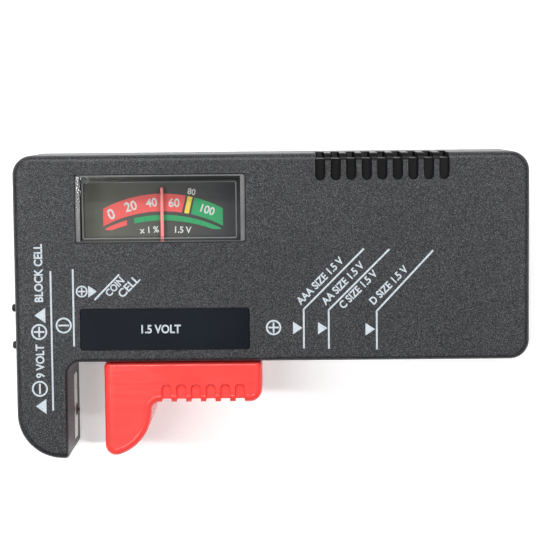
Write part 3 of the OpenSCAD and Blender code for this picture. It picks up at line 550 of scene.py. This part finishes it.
def stadium_cutter(x, width, low, high, z_low, flare):
    """Cutter for a finger groove with a round lower end."""
    rings = []
    for z, grow in ((z_low, 0.0), (FRONT - flare, 0.0), (FRONT + 1, 1 + flare)):
        rings.append(ring(rectangle(
            (x - width / 2 - grow, low - grow), (x + width / 2 + grow, high), width / 2 + grow
        ), z))
    return loft("groove", rings)


def build_front_shell():
    """Textured shell with its posts, pips, window, slot and finger grooves."""
    rounding, face_rounding, section_rounding, seam = 1.5, 0.5, 1.0, 0.2
    rings = [even_ring(seam, SPLIT), even_ring(0.0, SPLIT + seam)]
    steps = 9
    for k in range(steps + 1):
        a = math.pi / 2 * k / steps
        share = 1 - math.cos(a)
        outline = housing_outline(rounding * share, face_rounding * share, section_rounding * share)
        rings.append(ring(outline, FRONT - rounding + rounding * math.sin(a)))
    shell = loft("front_shell", rings)
    inside = FRONT - WALL
    cut(shell, loft("cavity", [even_ring(WALL, SPLIT - 1), even_ring(WALL, inside)]))
    post_kinds = [  # screw places, rear end, radius, front end of the hole, hole radius
        (CASE_SCREWS, 4.6, 2.6, 15.0, 1.25),
        (BOARD_SCREWS, 9.65, 2.0, 16.0, 0.95),
        (METER_SCREWS, 15.0, 2.0, 20.0, 0.95),
    ]
    posts, holes = [], []
    for places, rear, radius, hole_front, hole_radius in post_kinds:
        for p in places:
            posts.append(turned("z", p, [(rear, radius), (inside + 0.5, radius)]))
            holes.append(turned("z", p, [(rear - 0.6, hole_radius), (hole_front, hole_radius)]))
    for side in (-1, 1):  # the two polarity pips
        y = NINE_VOLT_Y[0] + side * PIP_SPACING / 2
        posts.append(turned("x", (y, NINE_VOLT_Z), [
            (LEFT + 1, 0.85), (LEFT - PIP_HEIGHT + 0.35, 0.85), (LEFT - PIP_HEIGHT + 0.1, 0.7),
            (LEFT - PIP_HEIGHT, 0.45)
        ], 24))
    add(shell, *posts)
    window_edge, label_edge = 0.15, 0.1
    holes.append(block("z", WINDOW_LOW, WINDOW_HIGH, [
        (inside - 1, 0.05), (FRONT - window_edge, 0.05), (FRONT + 1, 1.05 + window_edge)
    ]))
    holes.append(block("z", label_low, label_high, [
        (label_low.z, 0.08), (FRONT - label_edge, 0.08), (FRONT + 1, 1.08 + label_edge)
    ], 0.4))
    slot_low = (TONGUE_Z - 2.1, TONGUE_X - 15.0)
    slot_high = (TONGUE_Z + 2.1, TONGUE_X + 63.7)
    holes.append(block("y", slot_low, slot_high, [
        (SECTION_BOTTOM - 1, 0.0), (SECTION_BOTTOM + WALL + 1, 0.0)
    ]))
    holes.append(block("x", (-30.2, 4.2), (-15.7, 10.3), [
        (JAW_FACE - WALL - 1, 0.0), (JAW_FACE - 0.15, 0.0), (JAW_FACE + 1, 1.15)
    ]))
    for y in NINE_VOLT_Y:
        holes.append(block("x", (y - 2.3, NINE_VOLT_Z - 3.5), (y + 2.3, NINE_VOLT_Z + 3.5), [
            (LEFT - 1, 1.2), (LEFT + 0.2, 0.0), (LEFT + WALL + 1, 0.0)
        ]))
    groove_width, groove_depth, groove_low, edge = 1.87, 1.2, 26.3, 0.12
    groove_xs = [11.42 + 3.21 * i for i in range(9)]
    for x in groove_xs:
        holes.append(stadium_cutter(x, groove_width, groove_low, TOP + 2, FRONT - groove_depth, edge))
        holes.append(block("y", (12, x - groove_width / 2), (FRONT + 1, x + groove_width / 2), [
            (TOP - groove_depth, 0.0), (TOP - edge, 0.0), (TOP + 1, 1 + edge)
        ], 0.4))
    cut(shell, *holes)
    finish_piece(shell, "housing", [HOUSING, GROOVE_PAINTED_SHADE], ["front_cover"])
    # Faces inside the finger grooves take the near-black material: painted shade in the recesses.
    for polygon in shell.data.polygons:
        centre = polygon.center / MM
        in_row = groove_xs[0] - groove_width < centre.x < groove_xs[-1] + groove_width
        in_band = groove_low - groove_width / 2 < centre.y < TOP - 0.01
        if in_row and in_band and 12 < centre.z < FRONT - 0.01:
            polygon.material_index = 1
    return shell


def build_rear_shell():
    """Lid with a locating rim and four screw bosses."""
    rounding, seam, lip = 1.0, 0.2, 1.0
    rings = []
    steps = 6
    for k in range(steps + 1):
        a = math.pi / 2 * k / steps
        rings.append(even_ring(rounding * (1 - math.sin(a)), rounding * (1 - math.cos(a))))
    rings += [even_ring(0.0, SPLIT - seam), even_ring(seam, SPLIT)]
    shell = loft("rear_shell", rings)
    cut(shell, loft("cavity", [even_ring(WALL, WALL), even_ring(WALL, SPLIT + 1)]))
    rim = loft("rim", [even_ring(WALL + 0.15, WALL - 0.5), even_ring(WALL + 0.15, SPLIT + 0.9)])
    rim_inset = WALL + 0.15 + lip
    cut(rim, loft("rim_inside", [even_ring(rim_inset, WALL - 1), even_ring(rim_inset, SPLIT + 2)]))
    add(shell, rim, *[turned("z", p, [(1.0, 3.2), (4.4, 3.2)]) for p in CASE_SCREWS])
    cut(shell, *[
        turned("z", p, [(-1, 3.9), (0.15, 2.8), (2.0, 2.8), (2.0, 1.4), (5, 1.4)]) for p in CASE_SCREWS
    ])
    return finish_piece(shell, "housing", [HOUSING], ["rear_cover"])


def build_label():
    """Smooth dark plate set into the front face."""
    plate = block("z", label_low, label_high, [
        (label_low.z, 0.0), (label_high.z - 0.06, 0.0), (label_high.z, -0.06)
    ], 0.4, "label_film_plate")
    return finish_piece(plate, "housing", [FILM], ["label_plate"])


def build_lens():
    """Clear window: a raised box on a flange whose skirt covers the meter."""
    low, high = (lens_low.x, lens_low.y), (lens_high.x, lens_high.y)
    flange_rear, flange_front, pane, edge = 19.8, 20.8, 1.0, 0.3
    rim_low = WINDOW_LOW + Vector((1.65, 0.95))
    rim_high = WINDOW_HIGH - Vector((1.95, 1.6))
    cover = block("z", low, high, [(lens_low.z, 0.0), (flange_front, 0.0)], 0.3, "meter_window")
    add(cover, block("z", WINDOW_LOW, WINDOW_HIGH, [
        (flange_rear, 0.0), (lens_high.z - edge, 0.0), (lens_high.z, -edge)
    ], 0.5))
    cut(cover, block("z", low, high, [(lens_low.z - 1, -1.0), (flange_rear, -1.0)], 1.05))
    cut(cover, block("z", rim_low, rim_high, [
        (flange_rear - 1, 0.0), (lens_high.z - pane, 0.0)
    ], 0.2))
    cut(cover, block("z", rim_low, rim_high, [
        (lens_high.z - 0.25, 0.0), (lens_high.z + 1, 1.25)
    ], 0.2))
    strip_width, strip_drop, line_width, line_depth = 0.95, 0.1, 0.22, 0.18
    left_strip = (WINDOW_LOW.x - 1, WINDOW_LOW.x + strip_width)
    right_strip = (WINDOW_HIGH.x - strip_width, WINDOW_HIGH.x + 1)
    for low_x, high_x in (left_strip, right_strip):
        cut(cover, block("z", (low_x, WINDOW_LOW.y - 1), (high_x, WINDOW_HIGH.y + 1), [
            (lens_high.z - strip_drop, 0.0), (lens_high.z + 1, 0.0)
        ]))
    for y in (WINDOW_LOW.y + 0.5, WINDOW_HIGH.y - 0.5 - line_width, WINDOW_HIGH.y - 1.2):
        cut(cover, block("z", (WINDOW_LOW.x + 1.2, y), (WINDOW_HIGH.x - 1.2, y + line_width), [
            (lens_high.z - line_depth, 0.0), (lens_high.z + 1, 0.0)
        ]))
    lens_materials = [LENS_WALL, LENS_PANE, LENS_EDGE_PAINTED_HIGHLIGHT]
    finish_piece(cover, "housing", lens_materials, ["meter_lens"], 20)
    # Flat pane faces take the pane material; slanted faces and the strip floors take the pale edge
    # material, a painted highlight.
    for face in cover.data.polygons:
        centre = face.center / MM
        across = rim_low.x + 0.01 < centre.x < rim_high.x - 0.01
        up = rim_low.y + 0.01 < centre.y < rim_high.y - 0.01
        if across and up and abs(face.normal.z) > 0.9:
            face.material_index = 1
        elif 0.1 < abs(face.normal.z) < 0.95 or abs(centre.z - lens_high.z + strip_drop) < 0.01:
            face.material_index = 2
    return cover


# ------------------------------------------------------------- sliding jaw

def slider_outline(inset, top_inset):
    """Outline of the sliding jaw: leg, round toe, blend, grip bar and heel."""
    left, right, top = slider_low.x + inset, slider_high.x - inset, SLIDER_TOP - top_inset
    blend = BAR_BOTTOM - LEG_Y
    toe, heel, corner = 2.2, 2.6, 0.8
    toe_drop = math.sqrt((LEG_RADIUS - toe) ** 2 - toe ** 2)
    toe_angle = math.degrees(math.atan2(-toe_drop, toe))
    corner_radius = max(corner - max(inset, top_inset), 0.05)
    heel_radius = heel - inset
    return (
        arc((left + corner_radius, top - corner_radius), corner_radius, 90, 180, 6)
        + arc((slider_low.x + toe, LEG_Y - toe_drop), max(toe - inset, 0.05), 180, 360 + toe_angle, 12)
        + arc((slider_low.x, LEG_Y), LEG_RADIUS - inset, toe_angle, 0, 20)
        + arc((slider_low.x + LEG_RADIUS + blend, LEG_Y), blend + inset, 180, 90, 10)
        + arc((right - heel_radius, BAR_BOTTOM + inset + heel_radius), heel_radius, 270, 360, 12)
        + arc((right - corner_radius, top - corner_radius), corner_radius, 0, 90, 6)
    )


def build_slider():
    """Hollow red jaw with its tongue, grip notches and contact window."""
    edge_width, edge_depth, steps = 1.9, 1.3, 14
    edge = []
    for k in range(steps + 1):
        a = math.pi / 2 * k / steps
        edge.append((edge_width * (1 - math.cos(a)), edge_depth * (1 - math.sin(a))))
    top_share = 0.35
    rings = [  # small round edge at the rear
        ring(slider_outline(0.4, 0.4), SLIDER_REAR),
        ring(slider_outline(0.12, 0.12), SLIDER_REAR + 0.12),
        ring(slider_outline(0.0, 0.0), SLIDER_REAR + 0.4),
    ]
    rings += [ring(slider_outline(i, i * top_share), SLIDER_FRONT - drop) for i, drop in edge]
    jaw = loft("sliding_jaw", rings)
    cut(jaw, loft("hollow", [
        ring(slider_outline(WALL, WALL), SLIDER_REAR - 1),
        ring(slider_outline(WALL, WALL), SLIDER_FRONT - WALL)
    ]))
    add(jaw, block("z", (TONGUE_X - 7, SLIDER_TOP - WALL), (TONGUE_X + 7, SECTION_BOTTOM + WALL + 0.25), [
        (TONGUE_Z - 2, 0.0), (TONGUE_Z + 2, 0.0)
    ], 0.3))
    notches = []
    for i in range(NOTCH_COUNT):
        x = NOTCH_X + NOTCH_PITCH * i
        low, high = (x - NOTCH_WIDTH / 2, BAR_BOTTOM - 3), (x + NOTCH_WIDTH / 2, NOTCH_TOP)
        rings = []
        stations = (
            (SLIDER_FRONT - NOTCH_DEPTH, -0.1), (SLIDER_FRONT - 0.15, 0.0), (SLIDER_FRONT + 1, 1.15)
        )
        for z, grow in stations:
            rings.append(ring(rectangle(
                (low[0] - grow, low[1]), (high[0] + grow, high[1] + grow), NOTCH_WIDTH / 2 + grow
            ), z))
        notches.append(loft("arch", rings))
        slot_low, slot_high = (SLIDER_REAR - 1, low[0]), (SLIDER_FRONT + 1, high[0])
        notches.append(block("y", slot_low, slot_high, [
            (BAR_BOTTOM - 1, 1.1), (BAR_BOTTOM + 0.1, 0.0), (BAR_BOTTOM + NOTCH_DEPTH, 0.0)
        ], 0.2))
    cut(jaw, *notches)
    cut(
        jaw,
        turned("y", (TONGUE_Z, TONGUE_X), [(SLIDER_TOP - 4, 1.05), (SECTION_BOTTOM + 4, 1.05)]),
        block("x", (LEG_Y - 7, TONGUE_Z - 5.5), (LEG_Y + 6, TONGUE_Z + 5.5), [
            (slider_low.x - 1, 0.05), (slider_low.x + WALL + 1, 0.05)
        ], 0.3),
    )
    return finish_piece(jaw, "slider", [RED], ["slider"], 24)


# ------------------------------------------------------- contacts and needle

def build_jaw_contact():
    """Plated strip with a wider back and a darker punched nub, in the jaw's face."""
    face = JAW_FACE - 0.05
    strip_low, strip_high = (-30.05, 4.35), (-15.85, 10.15)
    strip = block("x", strip_low, strip_high, [
        (JAW_FACE - WALL - 0.4, -0.05), (face - 0.35, 0.0), (face - 0.08, 0.0), (face, -0.08)
    ], 0.5, "jaw_contact_strip")
    add(strip, block("x", (-30.75, 4.3), (-14.95, 10.85), [
        (JAW_FACE - WALL - 0.44, 0.0), (JAW_FACE - WALL - 0.06, 0.0)
    ], 0.4))
    add(strip, turned("x", (-23.8, 7.25), [
        (face - 0.3, 1.95), (face - 0.02, 1.9), (face + 0.12, 1.45), (face + 0.35, 0.95),
        (face + 0.62, 0.5), (face + 0.82, 0.22), (face + 0.85, 0.08)
    ], 32))
    finish_piece(strip, "housing", [NICKEL, NUB_METAL], ["jaw_contact"])
    for polygon in strip.data.polygons:
        if polygon.center.x / MM > face + 0.1:
            polygon.material_index = 1
    return strip


def build_needle():
    """Flattened pointer with a round tip, its hub and its tail."""
    z, half_height = 17.4, 0.16
    tip_y = PIVOT.y + NEEDLE_REACH
    profile = [(PIVOT.y - 5.2, 0.42), (PIVOT.y - 5.0, 0.45), (PIVOT.y, 0.45), (PIVOT.y + 8, 0.38)]
    profile += [(tip_y - 0.32, 0.32), (tip_y - 0.12, 0.26), (tip_y - 0.03, 0.15), (tip_y, 0.04)]
    rings = []
    for y, half_width in profile:
        rise = half_height * min(1.0, half_width / 0.3)
        rings.append([
            (PIVOT.x + half_width * math.cos(a), y, z + rise * math.sin(a))
            for a in (2 * math.pi * k / 16 for k in range(16))
        ])
    pointer = loft("pointer", rings)
    add(pointer, turned("z", PIVOT, [(17.25, 1.2), (17.32, 1.3), (17.78, 1.3), (17.85, 1.2)]))
    cut(pointer, turned("z", PIVOT, [(16, 0.5), (19, 0.5)], 24))
    return finish_piece(pointer, "needle", [NEEDLE], ["needle"])


# -------------------------------------------------------------------- print

class Print:
    """Flat printed shapes, gathered into one thin piece."""

    def __init__(self, z, thickness=0.03):
        self.bm = bmesh.new()
        self.z = z
        self.thickness = thickness

    def strip(self, inner, outer, closed=False):
        """Band between two rows of points of the same length."""
        rows = []
        for z in (self.z, self.z + self.thickness):
            rows.append([
                [self.bm.verts.new(Vector((p[0], p[1], z)) * MM) for p in row] for row in (inner, outer)
            ])
        (a0, b0), (a1, b1) = rows
        count = len(inner)
        for i in range(count if closed else count - 1):
            j = (i + 1) % count
            for quad in ((a1[i], a1[j], b1[j], b1[i]), (a0[j], a0[i], b0[i], b0[j]),
                         (a0[i], a0[j], a1[j], a1[i]), (b0[j], b0[i], b1[i], b1[j])):
                self.bm.faces.new(quad)
        if not closed:
            self.bm.faces.new((a0[0], a1[0], b1[0], b0[0]))
            self.bm.faces.new((a0[-1], b0[-1], b1[-1], a1[-1]))

    def line(self, points, width):
        for a, b in zip(points, points[1:]):
            a, b = Vector(a), Vector(b)
            along = (b - a).normalized()
            side = Vector((-along.y, along.x)) * width / 2
            grow = along * width * 0.2
            self.strip([a - grow - side, b + grow - side], [a - grow + side, b + grow + side])

    def triangle(self, a, b, apex):
        centre = (Vector(a) + Vector(b)) / 2
        self.strip([Vector(a), centre], [Vector(apex), Vector(apex) + Vector((0.001, 0.001))])
        self.strip([centre, Vector(b)], [Vector(apex) + Vector((0.001, 0.001)), Vector(apex)])

    def sign(self, centre, diameter, stroke, plus, turn=0.0):
        """Plus or minus in a ring."""
        centre = Vector(centre)
        radius = diameter / 2
        angles = [2 * math.pi * k / 48 for k in range(48)]
        self.strip(
            [centre + (radius - stroke) * Vector((math.cos(a), math.sin(a))) for a in angles],
            [centre + radius * Vector((math.cos(a), math.sin(a))) for a in angles], True
        )
        arm = radius * 0.62
        along = Vector((math.cos(math.radians(turn)), math.sin(math.radians(turn))))
        across = Vector((-along.y, along.x))
        self.line([centre - along * arm, centre + along * arm], stroke)
        if plus:
            for side in (-1, 1):
                self.line([centre + across * side * stroke * 0.71, centre + across * side * arm], stroke)

    def text(self, words, place, height, turn=0.0, weight=0.035, width=0.88):
        """Words that start at a place, with capitals of a height."""
        curve = bpy.data.curves.new("words", "FONT")
        curve.body = words
        curve.size = height / 0.72
        curve.offset = weight * height
        curve.extrude = self.thickness / 2
        curve.resolution_u = 4
        letters = bpy.data.objects.new("words", curve)
        scene.collection.objects.link(letters)
        bpy.context.view_layer.update()
        graph = bpy.context.evaluated_depsgraph_get()
        mesh = bpy.data.meshes.new_from_object(letters.evaluated_get(graph))
        centre = Vector((place[0], place[1], self.z + self.thickness / 2))
        narrow = Matrix.Diagonal((width, 1.0, 1.0, 1.0))
        turned_way = Matrix.Rotation(math.radians(turn), 4, "Z")
        mesh.transform(Matrix.Scale(MM, 4) @ Matrix.Translation(centre) @ turned_way @ narrow)
        self.bm.from_mesh(mesh)
        bpy.data.objects.remove(letters)
        bpy.data.meshes.remove(mesh)

    def piece(self, name, material, slot_name):
        bmesh.ops.remove_doubles(self.bm, verts=self.bm.verts, dist=0.0005 * MM)
        bmesh.ops.recalc_face_normals(self.bm, faces=self.bm.faces)
        mesh = bpy.data.meshes.new(name)
        self.bm.to_mesh(mesh)
        self.bm.free()
        made = bpy.data.objects.new(name, mesh)
        scene.collection.objects.link(made)
        mesh.materials.append(material)
        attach(made, "housing")
        return made


LINE = 0.36


def print_front_legends():
    ink = Print(FRONT + 0.004)
    ink.line([(-44.9, 7.8), (-44.9, -21.4)], LINE)
    ink.line([(-40.25, 8.15), (-40.25, -7.9)], LINE)
    ink.sign((-42.35, -3.56), 3.35, 0.36, False)
    ink.sign((-38.45, 3.53), 2.45, 0.30, True)
    ink.triangle((-37.1, 4.75), (-37.1, 2.25), (-35.3, 3.5))
    ink.line([(-35.75, 1.8), (-30.65, 6.95)], LINE)
    ink.sign((-47.5, -4.88), 3.35, 0.36, True)
    ink.triangle((-46.15, 0.15), (-46.15, -3.0), (-48.4, -1.41))
    ink.sign((-47.6, -16.85), 3.35, 0.36, False, 90)
    ink.triangle((-46.3, -19.0), (-46.3, -22.2), (-48.5, -20.55))
    ink.text("9 VOLT", (-46.6, -14.6), 1.75, 90)
    ink.text("BLOCK CELL", (-46.6, 1.3), 1.75, 90)
    ink.text("COIN", (-32.7, 2.3), 1.5, 45)
    ink.text("CELL", (-30.0, 2.0), 1.7, 45, 0.03, 1.05)
    ink.sign((1.45, -4.37), 3.2, 0.36, True)
    marks = [
        ((7.75, -8.75), (7.75, -0.6), (20.3, 11.9), 5.5, -4.5),
        ((12.95, -8.85), (12.95, -0.8), (25.6, 11.75), 10.7, -4.6),
        ((22.95, -9.1), (22.95, -1.1), (34.65, 11.4), 20.6, -4.9),
    ]
    for foot, elbow, end, base_x, y in marks:
        ink.line([foot, elbow, end], LINE)
        ink.triangle((base_x, y + 1.3), (base_x, y - 1.3), (base_x + 1.95, y))
    ink.text("AAA SIZE 1.5 V", (7.2, 0.3), 1.6, 45)
    ink.text("AA SIZE 1.5 V", (12.4, 0.2), 1.6, 45)
    ink.text("C SIZE 1.5 V", (16.0, -0.7), 1.6, 45)
    ink.text("D SIZE 1.5 V", (22.3, 0.1), 1.6, 45)
    ink.piece("front_legends", INK, "label_film")
    label = Print(label_high.z + 0.004)
    label.text("1.5 VOLT", (-26.5, -5.3), 1.75, 0, 0.035)
    label.piece("label_legend", INK, "label_film")


def dial_curve(x, centre_y, radius):
    return centre_y + math.sqrt(radius ** 2 - (x - PIVOT.x) ** 2)


def print_band(ink, left, right, low_curve, high_curve, floor=0.0):
    """Band whose ends are (x at the lower curve, x at the upper curve)."""
    steps = 28
    inner, outer = [], []
    for k in range(steps + 1):
        share = k / steps
        x_low = left[0] + (right[0] - left[0]) * share
        x_high = left[1] + (right[1] - left[1]) * share
        inner.append((x_low, max(dial_curve(x_low, *low_curve), floor)))
        outer.append((x_high, max(dial_curve(x_high, *high_curve), floor)))
    ink.strip(inner, outer)


def print_dial():
    top_curve, base_curve = (-3.65, 27.1), (-7.55, 27.27)
    strip_top, strip_base, strip_floor = (-8.85, 27.8), (-12.2, 30.0), 15.85
    z = DIAL_FRONT + 0.004
    red, green, yellow = (Print(z) for _ in range(3))
    print_band(red, (-34.4, -34.4), (-17.75, -16.9), base_curve, top_curve)
    print_band(red, (-33.9, -33.9), (-29.4, -29.4), strip_base, strip_top, strip_floor)
    print_band(yellow, (-17.25, -16.45), (-16.3, -15.45), base_curve, top_curve)
    print_band(green, (-15.85, -15.05), (-9.1, -9.1), base_curve, top_curve)
    print_band(green, (-27.85, -27.85), (-9.5, -9.5), strip_base, strip_top, strip_floor)
    white = Print(z + 0.035)  # on top of the bands
    for words, x, y, height, turn in (
        ("0", -33.0, 18.0, 2.2, 22), ("20", -29.6, 19.6, 2.0, 15), ("40", -25.2, 20.6, 1.8, 7),
        ("60", -20.6, 20.7, 1.8, -2), ("80", -16.6, 23.4, 1.3, -12), ("100", -14.3, 19.8, 1.7, -19),
        ("x 1 %", -26.6, 15.1, 1.35, 3), ("1.5 V", -19.6, 15.2, 1.35, -2),
    ):
        white.text(words, (x, y), height, turn, 0.03, 0.95)
    red.piece("dial_red_bands", DIAL_RED, "dial_paint")
    green.piece("dial_green_bands", DIAL_GREEN, "dial_paint")
    yellow.piece("dial_yellow_bar", DIAL_YELLOW, "dial_paint")
    white.piece("dial_numbers", DIAL_WHITE, "dial_paint")


build_front_shell()
build_rear_shell()
build_label()
build_lens()
build_slider()
build_jaw_contact()
build_needle()
print_front_legends()
print_dial()


# --------------------------------------------------- stage, light and camera

def build_floor():
    """Pale floor with a little light of its own, which keeps the shadow soft."""
    bpy.ops.mesh.primitive_plane_add(size=6.0, location=(0, 0, -0.0003))
    floor = bpy.context.object
    floor.name = "floor"
    m = Nodes("floor_paint")
    cloud = m.noise(3.0, 2.0)
    floor.data.materials.append(m.finish(
        Base_Color=m.ramp(cloud, (0.3, (0.86, 0.86, 0.86)), (0.7, (0.90, 0.90, 0.90))), Roughness=0.7,
        Emission_Color=(1.0, 1.0, 1.0, 1.0), Emission_Strength=0.30
    ))


def area_light(name, place, size, power, aim=(0.0, 0.0, 0.01)):
    """Rectangular light; places and sizes in metres, power in watts."""
    data = bpy.data.lights.new(name, "AREA")
    data.shape = "RECTANGLE"
    data.size, data.size_y = size
    data.energy = power
    lamp = bpy.data.objects.new(name, data)
    lamp.location = place
    lamp.rotation_euler = (Vector(aim) - Vector(place)).to_track_quat("-Z", "Y").to_euler()
    scene.collection.objects.link(lamp)


def build_lights():
    """One broad light, and narrow strips that draw thin lines on the round edges."""
    area_light("key_light", (-0.14, 0.60, 0.62), (0.7, 0.35), 4.6)
    area_light("left_strip", (-0.36, 0.02, 0.78), (0.05, 0.5), 3.4)
    area_light("right_strip", (0.40, 0.05, 0.78), (0.04, 0.5), 2.6)
    area_light("top_strip", (0.0, 0.46, 0.74), (0.6, 0.04), 3.0)
    area_light("low_strip", (0.05, -0.42, 0.74), (0.5, 0.03), 0.7)
    dim, bright, bend = 0.12, 0.80, 0.7  # the sky brightens from -Y to +Y
    world = bpy.data.worlds.new("studio")
    world.use_nodes = True
    tree = world.node_tree
    direction = tree.nodes.new("ShaderNodeTexCoord").outputs["Generated"]
    split = tree.nodes.new("ShaderNodeSeparateXYZ")
    tree.links.new(direction, split.inputs[0])
    share = tree.nodes.new("ShaderNodeMapRange")
    tree.links.new(split.outputs["Y"], share.inputs["Value"])
    share.inputs["From Min"].default_value = -bend
    share.inputs["From Max"].default_value = bend
    share.inputs["To Min"].default_value = dim
    share.inputs["To Max"].default_value = bright
    tree.links.new(share.outputs["Result"], tree.nodes["Background"].inputs["Strength"])
    scene.world = world
    scene.view_settings.view_transform = "Standard"


def build_camera():
    """Camera almost square on to the front face, turned a little about each axis."""
    tilt, yaw, roll = 0.08612, -0.0108, 0.00927
    offset = Vector((-0.0000979, -0.0060801, -0.3978082))
    turn = Matrix.Rotation(roll, 3, "Z") @ Matrix.Rotation(yaw, 3, "Y") @ Matrix.Rotation(tilt, 3, "X")
    turn = turn.transposed()
    data = bpy.data.cameras.new("camera")
    data.lens = 120.9
    data.clip_start = 0.01
    camera = bpy.data.objects.new("camera", data)
    camera.matrix_world = Matrix.Translation(-(turn @ offset)) @ turn.to_4x4()
    scene.collection.objects.link(camera)
    scene.camera = camera


build_floor()
build_lights()
build_camera()
